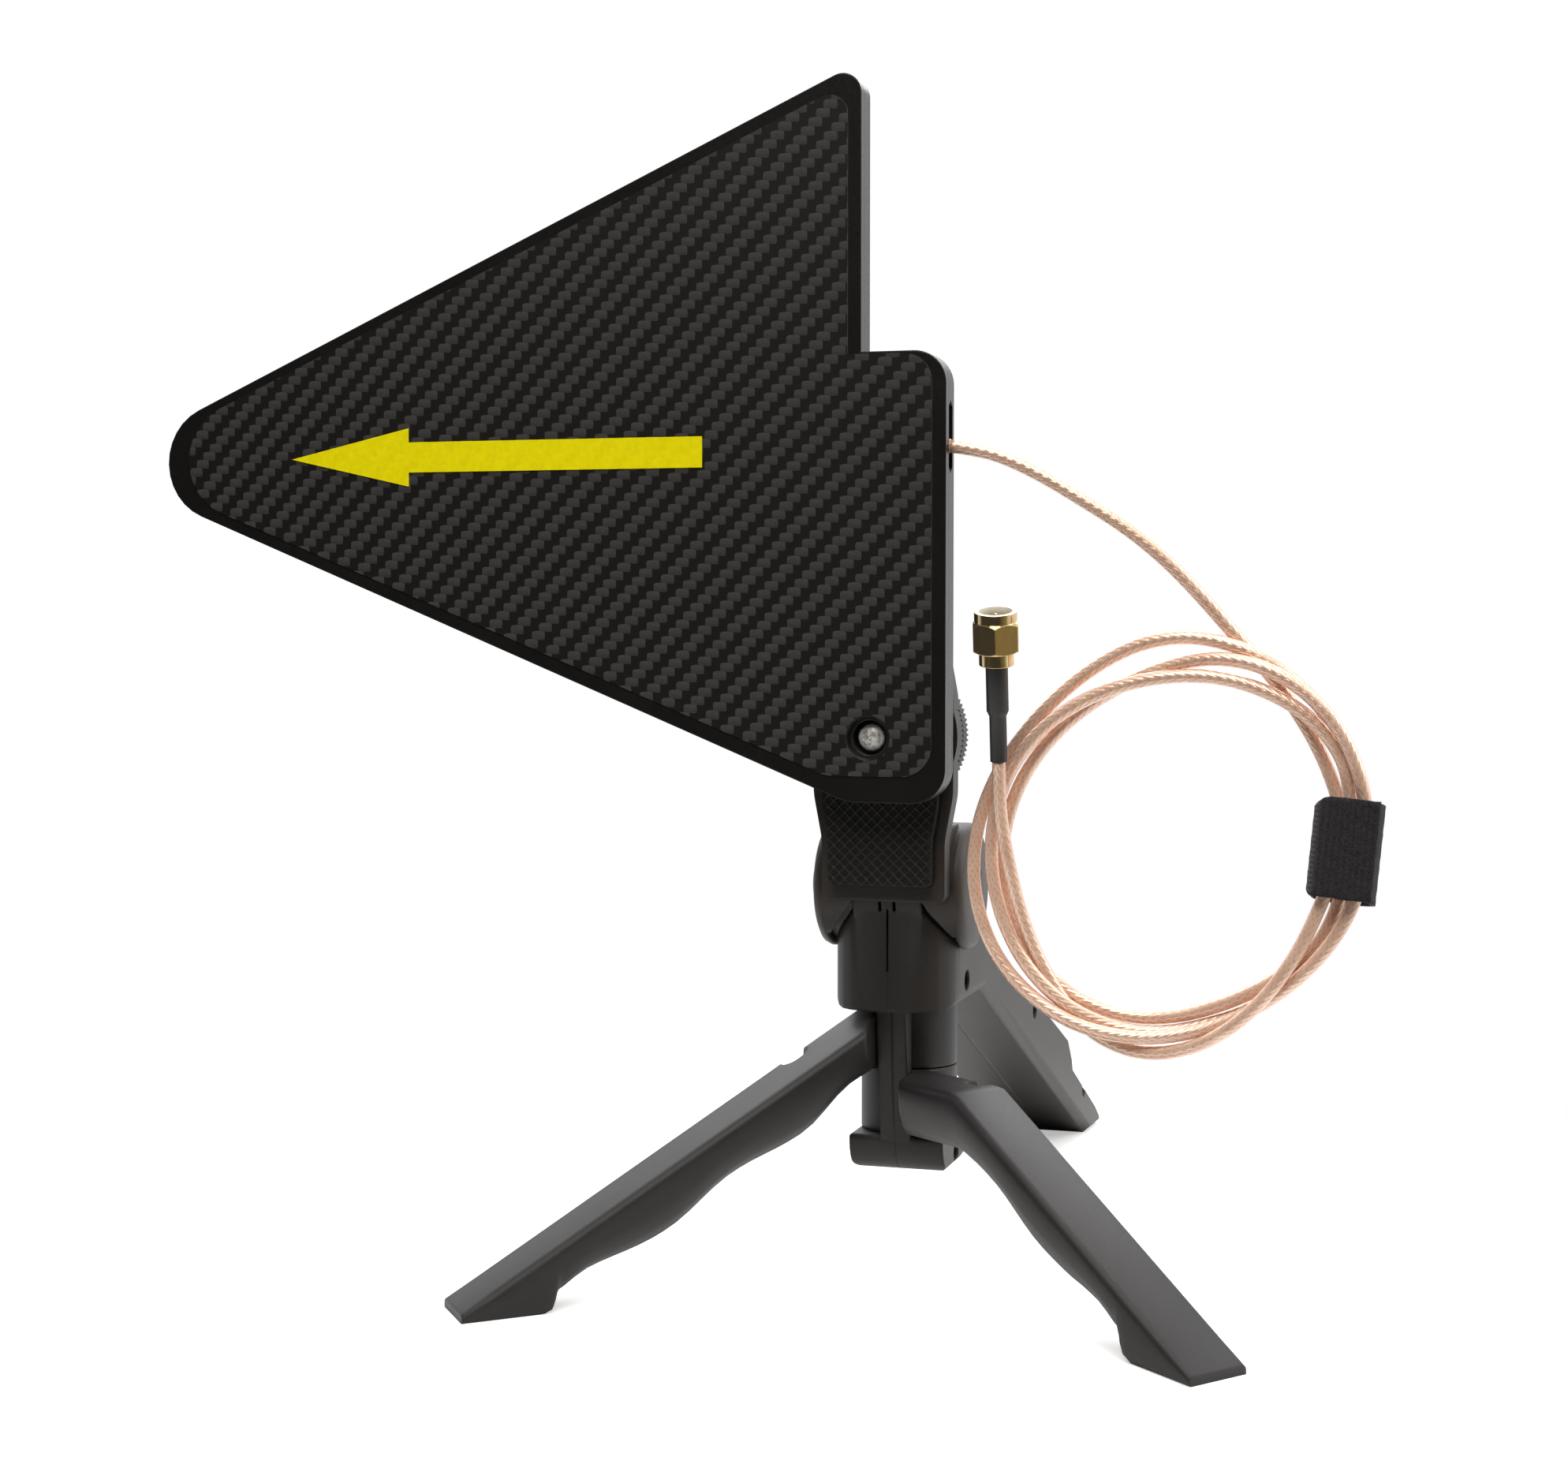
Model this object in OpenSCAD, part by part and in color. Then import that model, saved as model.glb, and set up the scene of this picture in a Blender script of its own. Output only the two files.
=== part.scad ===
// Directional antenna panel on a folding pistol-grip mini tripod.
// Millimetres, +Z up. The panel faces -Y and its nose points along -X.
// All pieces are drawn about the tripod's vertical leg post and then moved so
// that the origin is under the middle of the object, on the table.

/* [Antenna panel] */
// Length of the panel from the nose to the upper straight edge
arm_length = 142.8; // [120:0.1:170]
// Height of the upper corner above the camera screw
top_rise = 123.3; // [110:0.1:135]
// Distance of the lower left corner from the screw axis
foot_edge_x = -4; // [-7:0.1:-2]
// Radius of the rounded nose
nose_r = 11.4; // [8:0.1:14]
// Height of the boom line above the camera screw
boom_rise = 52.7; // [46:0.1:60]
// Distance of the upper straight edge from the screw axis
step_edge_x = -1.4; // [-4:0.1:1]
// Distance of the lower block's edge from the screw axis
block_edge_x = 14.6; // [12:0.1:16]
// Height of the step above the camera screw
step_rise = 70.7; // [66:0.1:76]
// Depth of the panel below the camera screw
block_drop = 12; // [10:0.1:16]
// Thickness of the front plate
front_t = 2.2; // [2.1:0.1:3.5]
// Thickness of the spacer frame in the middle
core_t = 2.9; // [2.8:0.1:4]
// Thickness of the rear plate
rear_t = 1.2; // [1:0.1:3]
// Diameter of the screw hole in the front plate
front_hole_d = 7.8; // [6.8:0.1:8.4]
// Distance of the arrow's tip from the panel's nose
arrow_inset = 27.4; // [20:0.1:40]
// Length of the arrow
arrow_length = 84.8; // [60:0.1:95]
// Width of the arrow's head
arrow_head_w = 11.2; // [8:0.1:16]
// Width of the arrow's shaft
arrow_shaft_w = 5.8; // [3:0.1:8]

/* [Antenna board] */
// Number of dipole elements
element_count = 12; // [6:1:14]
// Ratio of one element's length to the next longer one
element_ratio = 0.86; // [0.8:0.01:0.9]
// Thickness of the circuit board
board_t = 1.6; // [0.8:0.1:1.8]
// Width of the feed line along the boom
feed_line_w = 5; // [3:0.5:8]

/* [Tripod head] */
// Height of the tilt axis above the table
tilt_z = 75; // [74:0.1:82]
// Distance of the tilt axis in front of the leg post
tilt_forward = 6.2; // [5:0.1:7.5]
// Radius of the tilting ears
ear_r = 12.2; // [11.8:0.1:12.6]
// Width of the head across its two ears
head_w = 29.5; // [28.5:0.1:34]
// Height of the camera screw above the tilt axis
screw_rise = 29.5; // [28.5:0.1:34]
// Half width of the camera platform
platform_half_w = 13.5; // [13.2:0.1:14.4]
// Thickness of the camera platform
platform_t = 4.2; // [3.5:0.1:6]
// Radius of the thumb wheel
wheel_r = 15; // [13:0.1:15.6]
// Number of teeth on the thumb wheel
wheel_teeth = 96; // [40:1:110]
// Diameter of the camera screw
screw_d = 6.35; // [6:0.01:6.5]
// Diameter of the tilt bolt
bolt_d = 5; // [4:0.1:6]

/* [Tripod body] */
// Half width of the body and grip
body_half_w = 12; // [11:0.1:13.5]
// Distance of the grip's end behind the leg post
grip_reach = 149; // [130:1:170]
// Height of the grip's top where it steps down to the rear foot
grip_step_z = 28.2; // [26:0.1:32]
// Diameter of the leg post
post_d = 8; // [6:0.1:10]
// Outer radius of the leg knuckles
knuckle_r = 9.4; // [8:0.1:9.8]
// Underside of the body's block above the table
block_z = 51.6; // [50:0.1:53]
// Height of the joint between the two leg knuckles
knuckle_split = 39.4; // [38:0.1:41]
// Top of the lower bar above the table
bar_z = 26.6; // [25:0.1:28]
// Height of the lower bar
bar_h = 7.4; // [7:0.1:9]

/* [Legs] */
// Distance of a leg's tip from the leg post
leg_reach = 94; // [80:0.1:110]
// Width of a leg
leg_w = 13.3; // [11:0.1:13.8]
// Angle of each leg from the tilt axis when open
leg_angle = 38; // [34:0.5:44]
// Slope of a leg's top face, rise over run
leg_slope = 0.595; // [0.575:0.005:0.61]
// Thickness of a leg's tip
tip_t = 1.7; // [1:0.1:2.4]

/* [Cable] */
// Diameter of the coaxial cable
coax_d = 2.5; // [2:0.1:2.6]
// Mean radius of the tied coil
coil_r = 33; // [30:0.5:34]
// Width of the tied bundle in the coil's plane
bundle_w = 9.4; // [7:0.1:10.5]
// Thickness of the tied bundle across the coil's plane
bundle_t = 6; // [5:0.1:6.5]
// Width of the hook-and-loop strap along the bundle
strap_w = 18.5; // [12:0.5:24]
// Distance across the flats of the coupling nut
nut_flats = 8; // [7.9:0.1:9]

/* [Clearances] */
// Gap between parts that move past each other
gap = 0.3; // [0.2:0.05:0.4]
// Radial clearance of a turning shaft
run_fit = 0.06; // [0.03:0.01:0.1]

/* [Hidden] */
$fn = 64;
eps = 0.01;

// Head levels, along Y: the ears clear the platform by a gap
tilt_y = -tilt_forward;
screw_z = tilt_z + screw_rise;
platform_back = tilt_y - ear_r - 0.2;
platform_front = platform_back - platform_t;
pad_depth = 1;
pad_proud = 2.7;
pad_front = platform_front - pad_proud;
screw_out = 4.4;
wheel_t = 4;
wheel_front = platform_back + gap;

// Panel levels, along Y, from the pad forward
rear_front = pad_front - rear_t;
core_front = rear_front - core_t;
panel_front = core_front - front_t;
film_t = 0.2;
film_front = panel_front - film_t;

// Nose of the panel: the two long edges run from the upper and lower corners to touch the nose circle
nose_x = step_edge_x - arm_length;
nose_c = nose_x + nose_r;
upper_run = [step_edge_x - nose_c, top_rise - boom_rise];
lower_run = [foot_edge_x - nose_c, boom_rise + block_drop];
upper_flare = atan2(upper_run.y, upper_run.x) - asin(nose_r / norm(upper_run));
lower_flare = atan2(lower_run.y, lower_run.x) - asin(nose_r / norm(lower_run));
nose_dx = nose_r * (1 / cos(upper_flare) + 1 / cos(lower_flare)) / (tan(upper_flare) + tan(lower_flare));
nose_dz = nose_r / cos(lower_flare) - tan(lower_flare) * nose_dx;
nose_v = [nose_c - nose_dx, boom_rise - nose_dz];
panel_corners = [
    nose_v,
    [foot_edge_x, -block_drop],
    [block_edge_x, -block_drop],
    [block_edge_x, step_rise],
    [step_edge_x, step_rise],
    [step_edge_x, top_rise]];
panel_radii = [nose_r, 10, 6.4, 6, 0, 3.6];
// The film's margins, and those of its two long edges near the nose
film_insets = [3, 4.9, 2.6, 0.4, 2.5, 2.5];
film_nose_insets = [2.1, 4.9, 2.6, 0.4, 2.5, 1.6];
film_radii = [nose_r - 0.3, 8, 5.8, 5.5, 0, 3.6];

// Threaded insert in the panel, screw and slot for the cable
insert_d = 9;
insert_l = 5;
thread_r = screw_d / 2;
slot_low = boom_rise - 4.3;
slot_high = boom_rise + 9.1;
slot_bevel = 1.2;

// Antenna board: a wedge about the boom line, elements spaced by a constant ratio from its apex
board_back_x = step_edge_x - 6.6;
board_tip_x = nose_c + 1.5;
board_margin = 6.4;
board_tip_half = panel_half(board_tip_x) - board_margin;
board_back_half = panel_half(board_back_x) - board_margin;
board_slope = (board_back_half - board_tip_half) / (board_back_x - board_tip_x);
board_apex_x = board_tip_x - board_tip_half / board_slope;
board_room = 0.3;
copper_t = 0.1;
board_front = rear_front - copper_t - board_t;
first_element = board_back_x - board_apex_x - 4;
element_slope = 0.94 * board_slope;
element_w = 0.03;

// Coaxial cable inside the panel: it lies on the front copper and then drops into the slot
coax_r = coax_d / 2;
feed_y = board_front - copper_t - coax_r;
slot_y = rear_front - core_t / 2;
boom_z = screw_z + boom_rise;
exit_z = boom_z + 0.8;
feed_start = nose_c + 6;
groove_w = coax_d + 2.4;
groove_end = 10;
groove_d = core_front - feed_y + coax_r + 0.2;
feed_route = [
    [feed_start, feed_y, boom_z],
    [-60, feed_y, boom_z],
    [board_back_x + 1, feed_y, boom_z],
    [-3, feed_y + 0.3, boom_z + 0.2],
    [1, (feed_y + slot_y) / 2, boom_z + 0.5],
    [5, slot_y - 0.3, boom_z + 0.9],
    [9, slot_y, exit_z],
    [block_edge_x, slot_y, exit_z]];

// Platform outline about its own middle, which lies beside the screw axis
platform_off = 0.5;
waist_w = platform_half_w - 1.6;
platform_low = -screw_rise - 1.7;
platform_high = 21.5;
platform_corners = [
    [-waist_w, platform_low],
    [waist_w, platform_low],
    [waist_w, -19.5],
    [platform_half_w, -11],
    [platform_half_w, 7.5],
    [waist_w - 1, platform_high],
    [1 - waist_w, platform_high],
    [-platform_half_w, 7.5],
    [-platform_half_w, -11],
    [-waist_w, -19.5]];
platform_radii = [1.6, 1.6, 14, 14, 10, 5, 5, 10, 14, 14];
// The pad's margins, edge by edge, and the radii of its corners
pad_insets = [3.2, 2, 2, 2.4, 2.6, 2.9, 2.6, 2.4, 2, 2];
pad_radii = [1.2, 1.2, 12, 12, 8, 3, 3, 8, 12, 12];

// Ears: a hub that turns in the body's pocket and a wider flange beside the body
ear_out = head_w / 2;
ear_in = 7;
ear_hub_r = ear_r - 1.7;
ear_rim_in = body_half_w + gap + 0.05;
lug_w = ear_in - gap;
bolt_r = bolt_d / 2;
bolt_head_r = 5.4;
bolt_head_t = 1.8;
nut_t = 3.6;
nut_across = 8;
nut_recess = nut_t + 0.4;
neck_back = tilt_y - 3;

// Body side outline, behind the post: straight underside, sloping top, step and foot
shoulder_z = tilt_z - ear_r + 0.5;
heel_y = 0.903 * grip_reach;
grip_start = [11.5, block_z + 2.2];
underside_slope = grip_start.y / (heel_y - grip_start.x);
grip_edge = 1.8;
step_y = 0.7215 * grip_reach;
grip_top_y = 18.5;
grip_top_slope = (shoulder_z - grip_step_z) / (step_y - grip_top_y);
foot_top = [grip_reach - 7, 6.9];
foot_start = [step_y + 6, grip_step_z - 8];
body_front = -17.3;
block_back = 22;
body_top = tilt_z - 2.4;
far = 200;
seam_w = 0.4;
seam_d = 0.6;
latch_x = 1.1;

// Lower bar and front web that carry the leg post
bar_low = bar_z - bar_h;
bar_half_w = knuckle_r - 0.1;
bar_front = -10.6;
bar_back = 9.5;
web_half_w = 2.9;
web_back = -knuckle_r - 0.4;
post_low = bar_z - 2.2;
post_high = block_z + 3;
post_r = post_d / 2;

// Screws that join the two shells, as [y, z]: in the block, high in both stretches of the grip, in the bar
block_screw = [-1.9, post_high + 1.5];
grip_screw_y = 0.605 * step_y;
grip_screw_z = 0.3 * underside(grip_screw_y) + 0.7 * grip_top(grip_screw_y);
foot_screw_y = 0.841 * grip_reach;
foot_screw_z = 0.2 * underside(foot_screw_y) + 0.8 * foot_top_z(foot_screw_y);
bar_screw = [0.8, (bar_low + post_low) / 2 + 0.1];
shell_screws = [block_screw, [grip_screw_y, grip_screw_z], [foot_screw_y, foot_screw_z], bar_screw];
screw_seat = body_half_w / 2;
screw_head_r = 1.9;
screw_head_t = 1.6;
screw_shank_r = 1;
screw_shank_l = 12.5;

// Knuckles: the left leg's above the right leg's, each a gap clear of its neighbours
left_knuckle = [knuckle_split + gap / 2, block_z - gap];
right_knuckle = [bar_z + gap, knuckle_split - gap / 2];

// Legs in their own line: s along the leg, the inner edge lies inner_off from the post's axis
outer_off = -1.5;
inner_off = outer_off - leg_w;
leg_root_s = 9;
heel_s = leg_reach - 18;
heel_depth = 10;
notch_s = 25.5;
notch_r = 2.5;
notch_depth = 4;
// Depth of the finger-grooved underside below the top face, as [s, depth]
grip_waves = [[9, 11.5], [16, 11], [26, 14.2], [41, 12.1], [52.5, 14.2], [heel_s - 2, heel_depth]];
// Fall of the underside at the heel, as [s, share of the height there]
heel_curve = [[heel_s - 2, 1], [heel_s - 0.8, 0.85], [heel_s - 0.4, 0.6], [heel_s, 0.2], [heel_s + 2.2, 0]];
// Lean of the inner side, as [s, distance across]
side_lean = [[heel_s - 8, 9], [heel_s - 1.2, 6], [heel_s + 1, 1.8], [leg_reach, 0.8]];
web_clear = web_half_w + gap;

// Coil, strap and plug
coil_c = [54.2, slot_y + 1.7, 85.6];
strap_t = 1.2;
strap_tab = 0.8;
plug_x = 24.9;
plug_y = coil_c.y - bundle_t / 2 - coax_r - 2.5;
plug_lean = [15, 1.8, 0];
plug_top = 128.8;
nut_ring_r = nut_flats / 2 - 0.15;
nut_ring_l = 1.8;
nut_hex_l = 5.6;
nut_edge = 0.5;
nut_low = plug_top - nut_ring_l - nut_hex_l;
nut_wall = 1.8;
nut_bore_r = 3.05;
barrel_r = 3.15;
barrel_l = 2.4;
neck_r = 2.1;
flange_r = 2.65;
flange_t = 1;
sleeve_r = 2.3;
sleeve_top = plug_top - 2.9;
dielectric_r = 1.9;
pin_r = 0.45;
boot_low = [100.8, 109.8];
boot_r = [1.55, 2];
lead_route = [
    [block_edge_x, slot_y, exit_z],
    [20.5, slot_y, 157.4],
    [26.5, slot_y + 0.1, 154.6],
    [32.5, slot_y + 0.2, 151.4],
    [38, slot_y + 0.3, 148.4],
    [43, slot_y + 0.5, 145.4],
    [48, slot_y + 0.6, 142],
    [52.5, slot_y + 0.8, 138.4],
    [56.5, slot_y + 1, 134.2],
    [60, slot_y + 1.2, 129.9],
    [63.5, slot_y + 1.4, 126],
    [67, slot_y + 1.5, 122.6],
    [70.5, slot_y + 1.7, 119.2],
    [74, slot_y + 1.7, 115.4]];
tail_route = [
    [plug_x, plug_y, boot_low[0]],
    [plug_x - 0.2, plug_y + 0.9, 96.7],
    [plug_x - 0.2, plug_y + 1.6, 93],
    [plug_x + 0.1, plug_y + 2, 88],
    [plug_x + 0.8, plug_y + 2, 82.5],
    [plug_x + 1.6, plug_y + 2.1, 77],
    [plug_x + 2.8, plug_y + 2.8, 71],
    [plug_x + 4.8, plug_y + 4.2, 65.5],
    [plug_x + 7.4, plug_y + 5.4, 61]];

// Middle of the whole object over the table, so that the origin lies there
reach = [cos(leg_angle), sin(leg_angle)];
high_x = leg_reach * reach.x + outer_off * reach.y;
low_y = inner_off * reach.x - leg_reach * reach.y;
shift = [-(nose_x + high_x) / 2, -(low_y + grip_reach) / 2, 0];

// Height of the panel on the narrower side of the boom line, at x
function panel_half(x) = min(
    nose_v.y - boom_rise + tan(upper_flare) * (x - nose_v.x),
    boom_rise - nose_v.y + tan(lower_flare) * (x - nose_v.x));

// Heights of the grip's underside, its sloping top and the top of its rear foot, at y
function underside(y) = grip_start.y - underside_slope * (y - grip_start.x);
function grip_top(y) = shoulder_z - grip_top_slope * (y - grip_top_y);
function foot_top_z(y) =
    foot_start.y + (foot_top.y - foot_start.y) * (y - foot_start.x) / (foot_top.x - foot_start.x);

// Outline helpers

// Unit vector along v
function unit(v) = v / norm(v);

// Points of the arc of radius r that rounds corner p between its neighbours a and b
function corner_arc(a, p, b, r, steps = 6) =
    r == 0 ? [p] :
    let (
        ua = unit(a - p),
        ub = unit(b - p),
        half = acos(ua * ub) / 2,
        centre = p + unit(ua + ub) * r / sin(half),
        first = p + ua * r / tan(half) - centre,
        last = p + ub * r / tan(half) - centre,
        start = atan2(first.y, first.x),
        turn = atan2(first.x * last.y - first.y * last.x, first * last))
    [for (i = [0:steps]) centre + r * [cos(start + turn * i / steps), sin(start + turn * i / steps)]];

// Outline with each corner rounded by its own radius
function rounded(corners, radii, steps = 6) =
    let (n = len(corners))
    [for (i = [0:n - 1])
        each corner_arc(corners[(i + n - 1) % n], corners[i], corners[(i + 1) % n], radii[i], steps)];

// Inward normal of the edge that starts at corner i of a counter-clockwise outline
function edge_normal(corners, i) =
    let (e = unit(corners[(i + 1) % len(corners)] - corners[i]))
    [-e.y, e.x];

// Corners moved inward, each edge by its own distance
function inset(corners, distance) =
    let (n = len(corners))
    [for (i = [0:n - 1])
        let (
            before = (i + n - 1) % n,
            a = edge_normal(corners, before),
            b = edge_normal(corners, i),
            turn = a.x * b.y - a.y * b.x)
        corners[i] + [distance[before] * b.y - distance[i] * a.y, distance[i] * a.x - distance[before] * b.x]
            / turn];

// The same distance for every corner of an outline
function same(corners, value) = [for (c = corners) value];

// Value at s of a curve through [s, value] pairs, eased between them
function eased(table, s) =
    s <= table[0][0] ? table[0][1] :
    s >= table[len(table) - 1][0] ? table[len(table) - 1][1] :
    let (
        i = max([for (k = [0:len(table) - 2]) table[k][0] <= s ? k : 0]),
        t = (s - table[i][0]) / (table[i + 1][0] - table[i][0]))
    table[i][1] + (table[i + 1][1] - table[i][1]) * (1 - cos(180 * t)) / 2;

// Faces of a skin over rings that all have the same number of points
function skin_faces(rings, points) = concat(
    [[for (k = [points - 1:-1:0]) k]],
    [for (i = [0:rings - 2], k = [0:points - 1])
        let (a = i * points + k, b = i * points + (k + 1) % points)
        [a, b, b + points, a + points]],
    [[for (k = [0:points - 1]) (rings - 1) * points + k]]);

// Ring of points round a cable at point p with direction t
function cable_ring(p, t, r, sides) =
    let (
        across = unit(cross(t, [0, 1, 0])),
        up = cross(across, t))
    [for (k = [0:sides - 1])
        let (a = 360 * (k + 0.5) / sides)
        p + r / cos(180 / sides) * (cos(a) * across + sin(a) * up)];

// Round cable along a route
module cable(route, r, sides = 8) {
    n = len(route);
    points = [for (i = [0:n - 1])
        each cable_ring(route[i], unit(route[min(i + 1, n - 1)] - route[max(i - 1, 0)]), r, sides)];
    polyhedron(points, skin_faces(n, sides), convexity = 4);
}

// Moves the children to the object's own origin
module placed() {
    translate(shift) children();
}

// Sheet that stands in the XZ plane about the screw axis and reaches forward from y_back by t
module upright(y_back, t) {
    translate([0, y_back, screw_z]) rotate([90, 0, 0]) linear_extrude(t) children();
}

// Cylinder along Y from y_front back by l, at x and z
module along_y(x, y_front, z, r, l) {
    translate([x, y_front, z]) rotate([-90, 0, 0]) cylinder(r = r, h = l);
}

// Cylinder along X from x_low by l, at y and z
module along_x(x_low, y, z, r, l) {
    translate([x_low, y, z]) rotate([0, 90, 0]) cylinder(r = r, h = l);
}

// Outline in the YZ plane, extruded along +X from x_low by l
module sideways(x_low, l) {
    translate([x_low, 0, 0]) rotate([90, 0, 90]) linear_extrude(l) children();
}

// Outline in the XZ plane at true height, extruded from y_front back by l
module lengthways(y_front, l) {
    translate([0, y_front + l, 0]) rotate([90, 0, 0]) linear_extrude(l) children();
}

// The pieces of the antenna panel

module panel_outline() {
    polygon(rounded(panel_corners, panel_radii, 12));
}

module front_plate() {
    groove_z = boom_rise - groove_w / 2;
    color([0.03, 0.03, 0.035]) placed() difference() {
        upright(core_front, front_t) panel_outline();
        along_y(0, panel_front - 1, screw_z, front_hole_d / 2, front_t + 2);
        along_y(0, pad_front - insert_l, screw_z, insert_d / 2, insert_l);
        upright(core_front + 1, groove_d + 1)
            translate([feed_start - 1, groove_z]) square([groove_end + 1 - feed_start, groove_w]);
    }
}

module carbon_film() {
    wide = inset(panel_corners, film_insets);
    corners = concat([inset(panel_corners, film_nose_insets)[0]], [for (i = [1:len(wide) - 1]) wide[i]]);
    color([0.12, 0.12, 0.13]) placed() difference() {
        upright(panel_front, film_t) polygon(rounded(corners, film_radii, 12));
        along_y(0, film_front - 1, screw_z, front_hole_d / 2 + 0.3, film_t + 2);
    }
}

module arrow_decal() {
    tip_x = nose_x + arrow_inset;
    neck_x = tip_x + 2.23 * arrow_head_w;
    end_x = tip_x + arrow_length;
    head = arrow_head_w / 2;
    shaft = arrow_shaft_w / 2;
    color([0.86, 0.74, 0.06]) placed() upright(film_front, film_t)
        translate([0, boom_rise + 0.3]) polygon([[tip_x, 0], [neck_x, -head], [neck_x, -shaft],
            [end_x, -shaft], [end_x, shaft], [neck_x, shaft], [neck_x, head]]);
}

module board_outline(room) {
    half_tip = board_tip_half + room;
    half_back = board_back_half + room;
    translate([0, boom_rise]) polygon([[board_tip_x - room, -half_tip], [board_back_x + room, -half_back],
        [board_back_x + room, half_back], [board_tip_x - room, half_tip]]);
}

module core_frame() {
    mid = core_t / 2;
    slot = [[-eps, slot_low + slot_bevel], [mid, slot_low], [core_t + eps, slot_low + slot_bevel],
        [core_t + eps, slot_high - slot_bevel], [mid, slot_high], [-eps, slot_high - slot_bevel]];
    color([0.05, 0.05, 0.05]) placed() difference() {
        upright(rear_front, core_t) panel_outline();
        upright(rear_front + 1, core_t + 2) board_outline(board_room);
        along_y(0, core_front - 1, screw_z, insert_d / 2, core_t + 2);
        translate([board_back_x, core_front, screw_z])
            sideways(0, block_edge_x - board_back_x + 1) polygon(slot);
    }
}

module antenna_board() {
    color([0.06, 0.22, 0.12]) placed() upright(board_front + board_t, board_t) board_outline(0);
}

// Feed line and alternate dipole halves; side is 1 or -1 for the half that the first one takes
module radiator(side) {
    line_end = board_tip_x + 1;
    translate([line_end, boom_rise - feed_line_w / 2]) square([board_back_x - 1 - line_end, feed_line_w]);
    for (i = [0:element_count - 1]) {
        distance = first_element * pow(element_ratio, i);
        width = element_w * distance;
        way = side * (i % 2 == 0 ? 1 : -1);
        length = element_slope * distance;
        translate([board_apex_x + distance - width / 2, boom_rise + (way > 0 ? 0 : -length)])
            square([width, length]);
    }
}

module radiator_front() {
    color([0.72, 0.45, 0.2]) placed() upright(board_front, copper_t) radiator(1);
}

module radiator_rear() {
    color([0.72, 0.45, 0.2]) placed() upright(rear_front, copper_t) radiator(-1);
}

module rear_plate() {
    color([0.03, 0.03, 0.035]) placed() difference() {
        upright(pad_front, rear_t) panel_outline();
        along_y(0, rear_front - 1, screw_z, insert_d / 2, rear_t + 2);
    }
}

module thread_insert() {
    color([0.04, 0.04, 0.04]) placed() difference() {
        along_y(0, pad_front - insert_l, screw_z, insert_d / 2, insert_l);
        along_y(0, pad_front - insert_l - 1, screw_z, thread_r + run_fit, insert_l + 2);
    }
}

module feed_coax() {
    color([0.75, 0.5, 0.4]) placed() cable(feed_route, coax_r);
}

// The tilting head

// Half profile of an ear as [radius, distance from the middle]
function ear_profile(grow) = [
    [0, ear_in - grow],
    [ear_hub_r + grow, ear_in - grow],
    [ear_hub_r + grow, ear_rim_in - grow],
    [ear_r - 0.4 + grow, ear_rim_in - grow],
    [ear_r + grow, ear_rim_in + 0.4],
    [ear_r + grow, ear_out - 1.5],
    [ear_r - 0.5 + grow, ear_out - 0.5],
    [ear_r - 1.5 + grow, ear_out + grow],
    [0, ear_out + grow]];

// One ear on the +X side, turned about the tilt axis
module ear(grow) {
    translate([0, tilt_y, tilt_z]) rotate([0, 90, 0]) rotate_extrude($fn = 96) polygon(ear_profile(grow));
}

// Both sides of a shape that is drawn on the +X side
module both_sides() {
    children();
    mirror([1, 0, 0]) children();
}

module pad_outline() {
    translate([platform_off, 0]) polygon(rounded(inset(platform_corners, pad_insets), pad_radii));
}

module platform() {
    neck_w = waist_w - ear_in;
    color([0.05, 0.05, 0.055]) placed() difference() {
        union() {
            upright(platform_back, platform_t) translate([platform_off, 0])
                polygon(rounded(platform_corners, platform_radii));
            both_sides() ear(0);
            both_sides() translate([ear_in, platform_back - 1, tilt_z])
                cube([neck_w, neck_back - platform_back + 1, ear_r]);
        }
        upright(platform_front + pad_depth, pad_depth + 1) pad_outline();
        along_y(0, platform_front - 1, screw_z, thread_r + 0.3, platform_t + 2);
        along_x(-ear_out - 1, tilt_y, tilt_z, bolt_r, head_w + 2);
        translate([ear_out - nut_recess, tilt_y, tilt_z]) rotate([0, 90, 0])
            cylinder(d = nut_across / cos(30), h = nut_recess + 1, $fn = 6);
    }
}

module platform_pad() {
    color([0.04, 0.04, 0.04]) placed() difference() {
        upright(platform_front + pad_depth, pad_depth + pad_proud) pad_outline();
        along_y(0, pad_front - 1, screw_z, thread_r + 0.5, pad_depth + pad_proud + 2);
    }
}

// Screw with a domed end
module camera_screw() {
    dome = [[0, 0], [0.3, 0.025], [0.55, 0.1], [0.75, 0.22], [0.9, 0.38], [1, 0.55]];
    length = wheel_front + wheel_t - pad_front + screw_out;
    color([0.75, 0.75, 0.74]) placed() translate([0, pad_front - screw_out, screw_z]) rotate([-90, 0, 0])
        rotate_extrude() polygon(concat(thread_r * dome, [[thread_r, length], [0, length]]));
}

module screw_wheel() {
    tooth = 0.45;
    rim = [for (i = [0:2 * wheel_teeth - 1])
        let (a = 180 * i / wheel_teeth, r = wheel_r - (i % 2) * tooth)
        r * [cos(a), sin(a)]];
    color([0.05, 0.05, 0.055]) placed() difference() {
        translate([0, wheel_front, screw_z]) rotate([-90, 0, 0]) linear_extrude(wheel_t) polygon(rim);
        along_y(0, wheel_front - 1, screw_z, thread_r, wheel_t + 2);
        translate([0, wheel_front + wheel_t - 1, screw_z]) rotate([-90, 0, 0]) difference() {
            cylinder(r = wheel_r - 2.5, h = 2);
            translate([0, 0, -1]) cylinder(r = thread_r + 2, h = 4);
        }
    }
}

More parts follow.
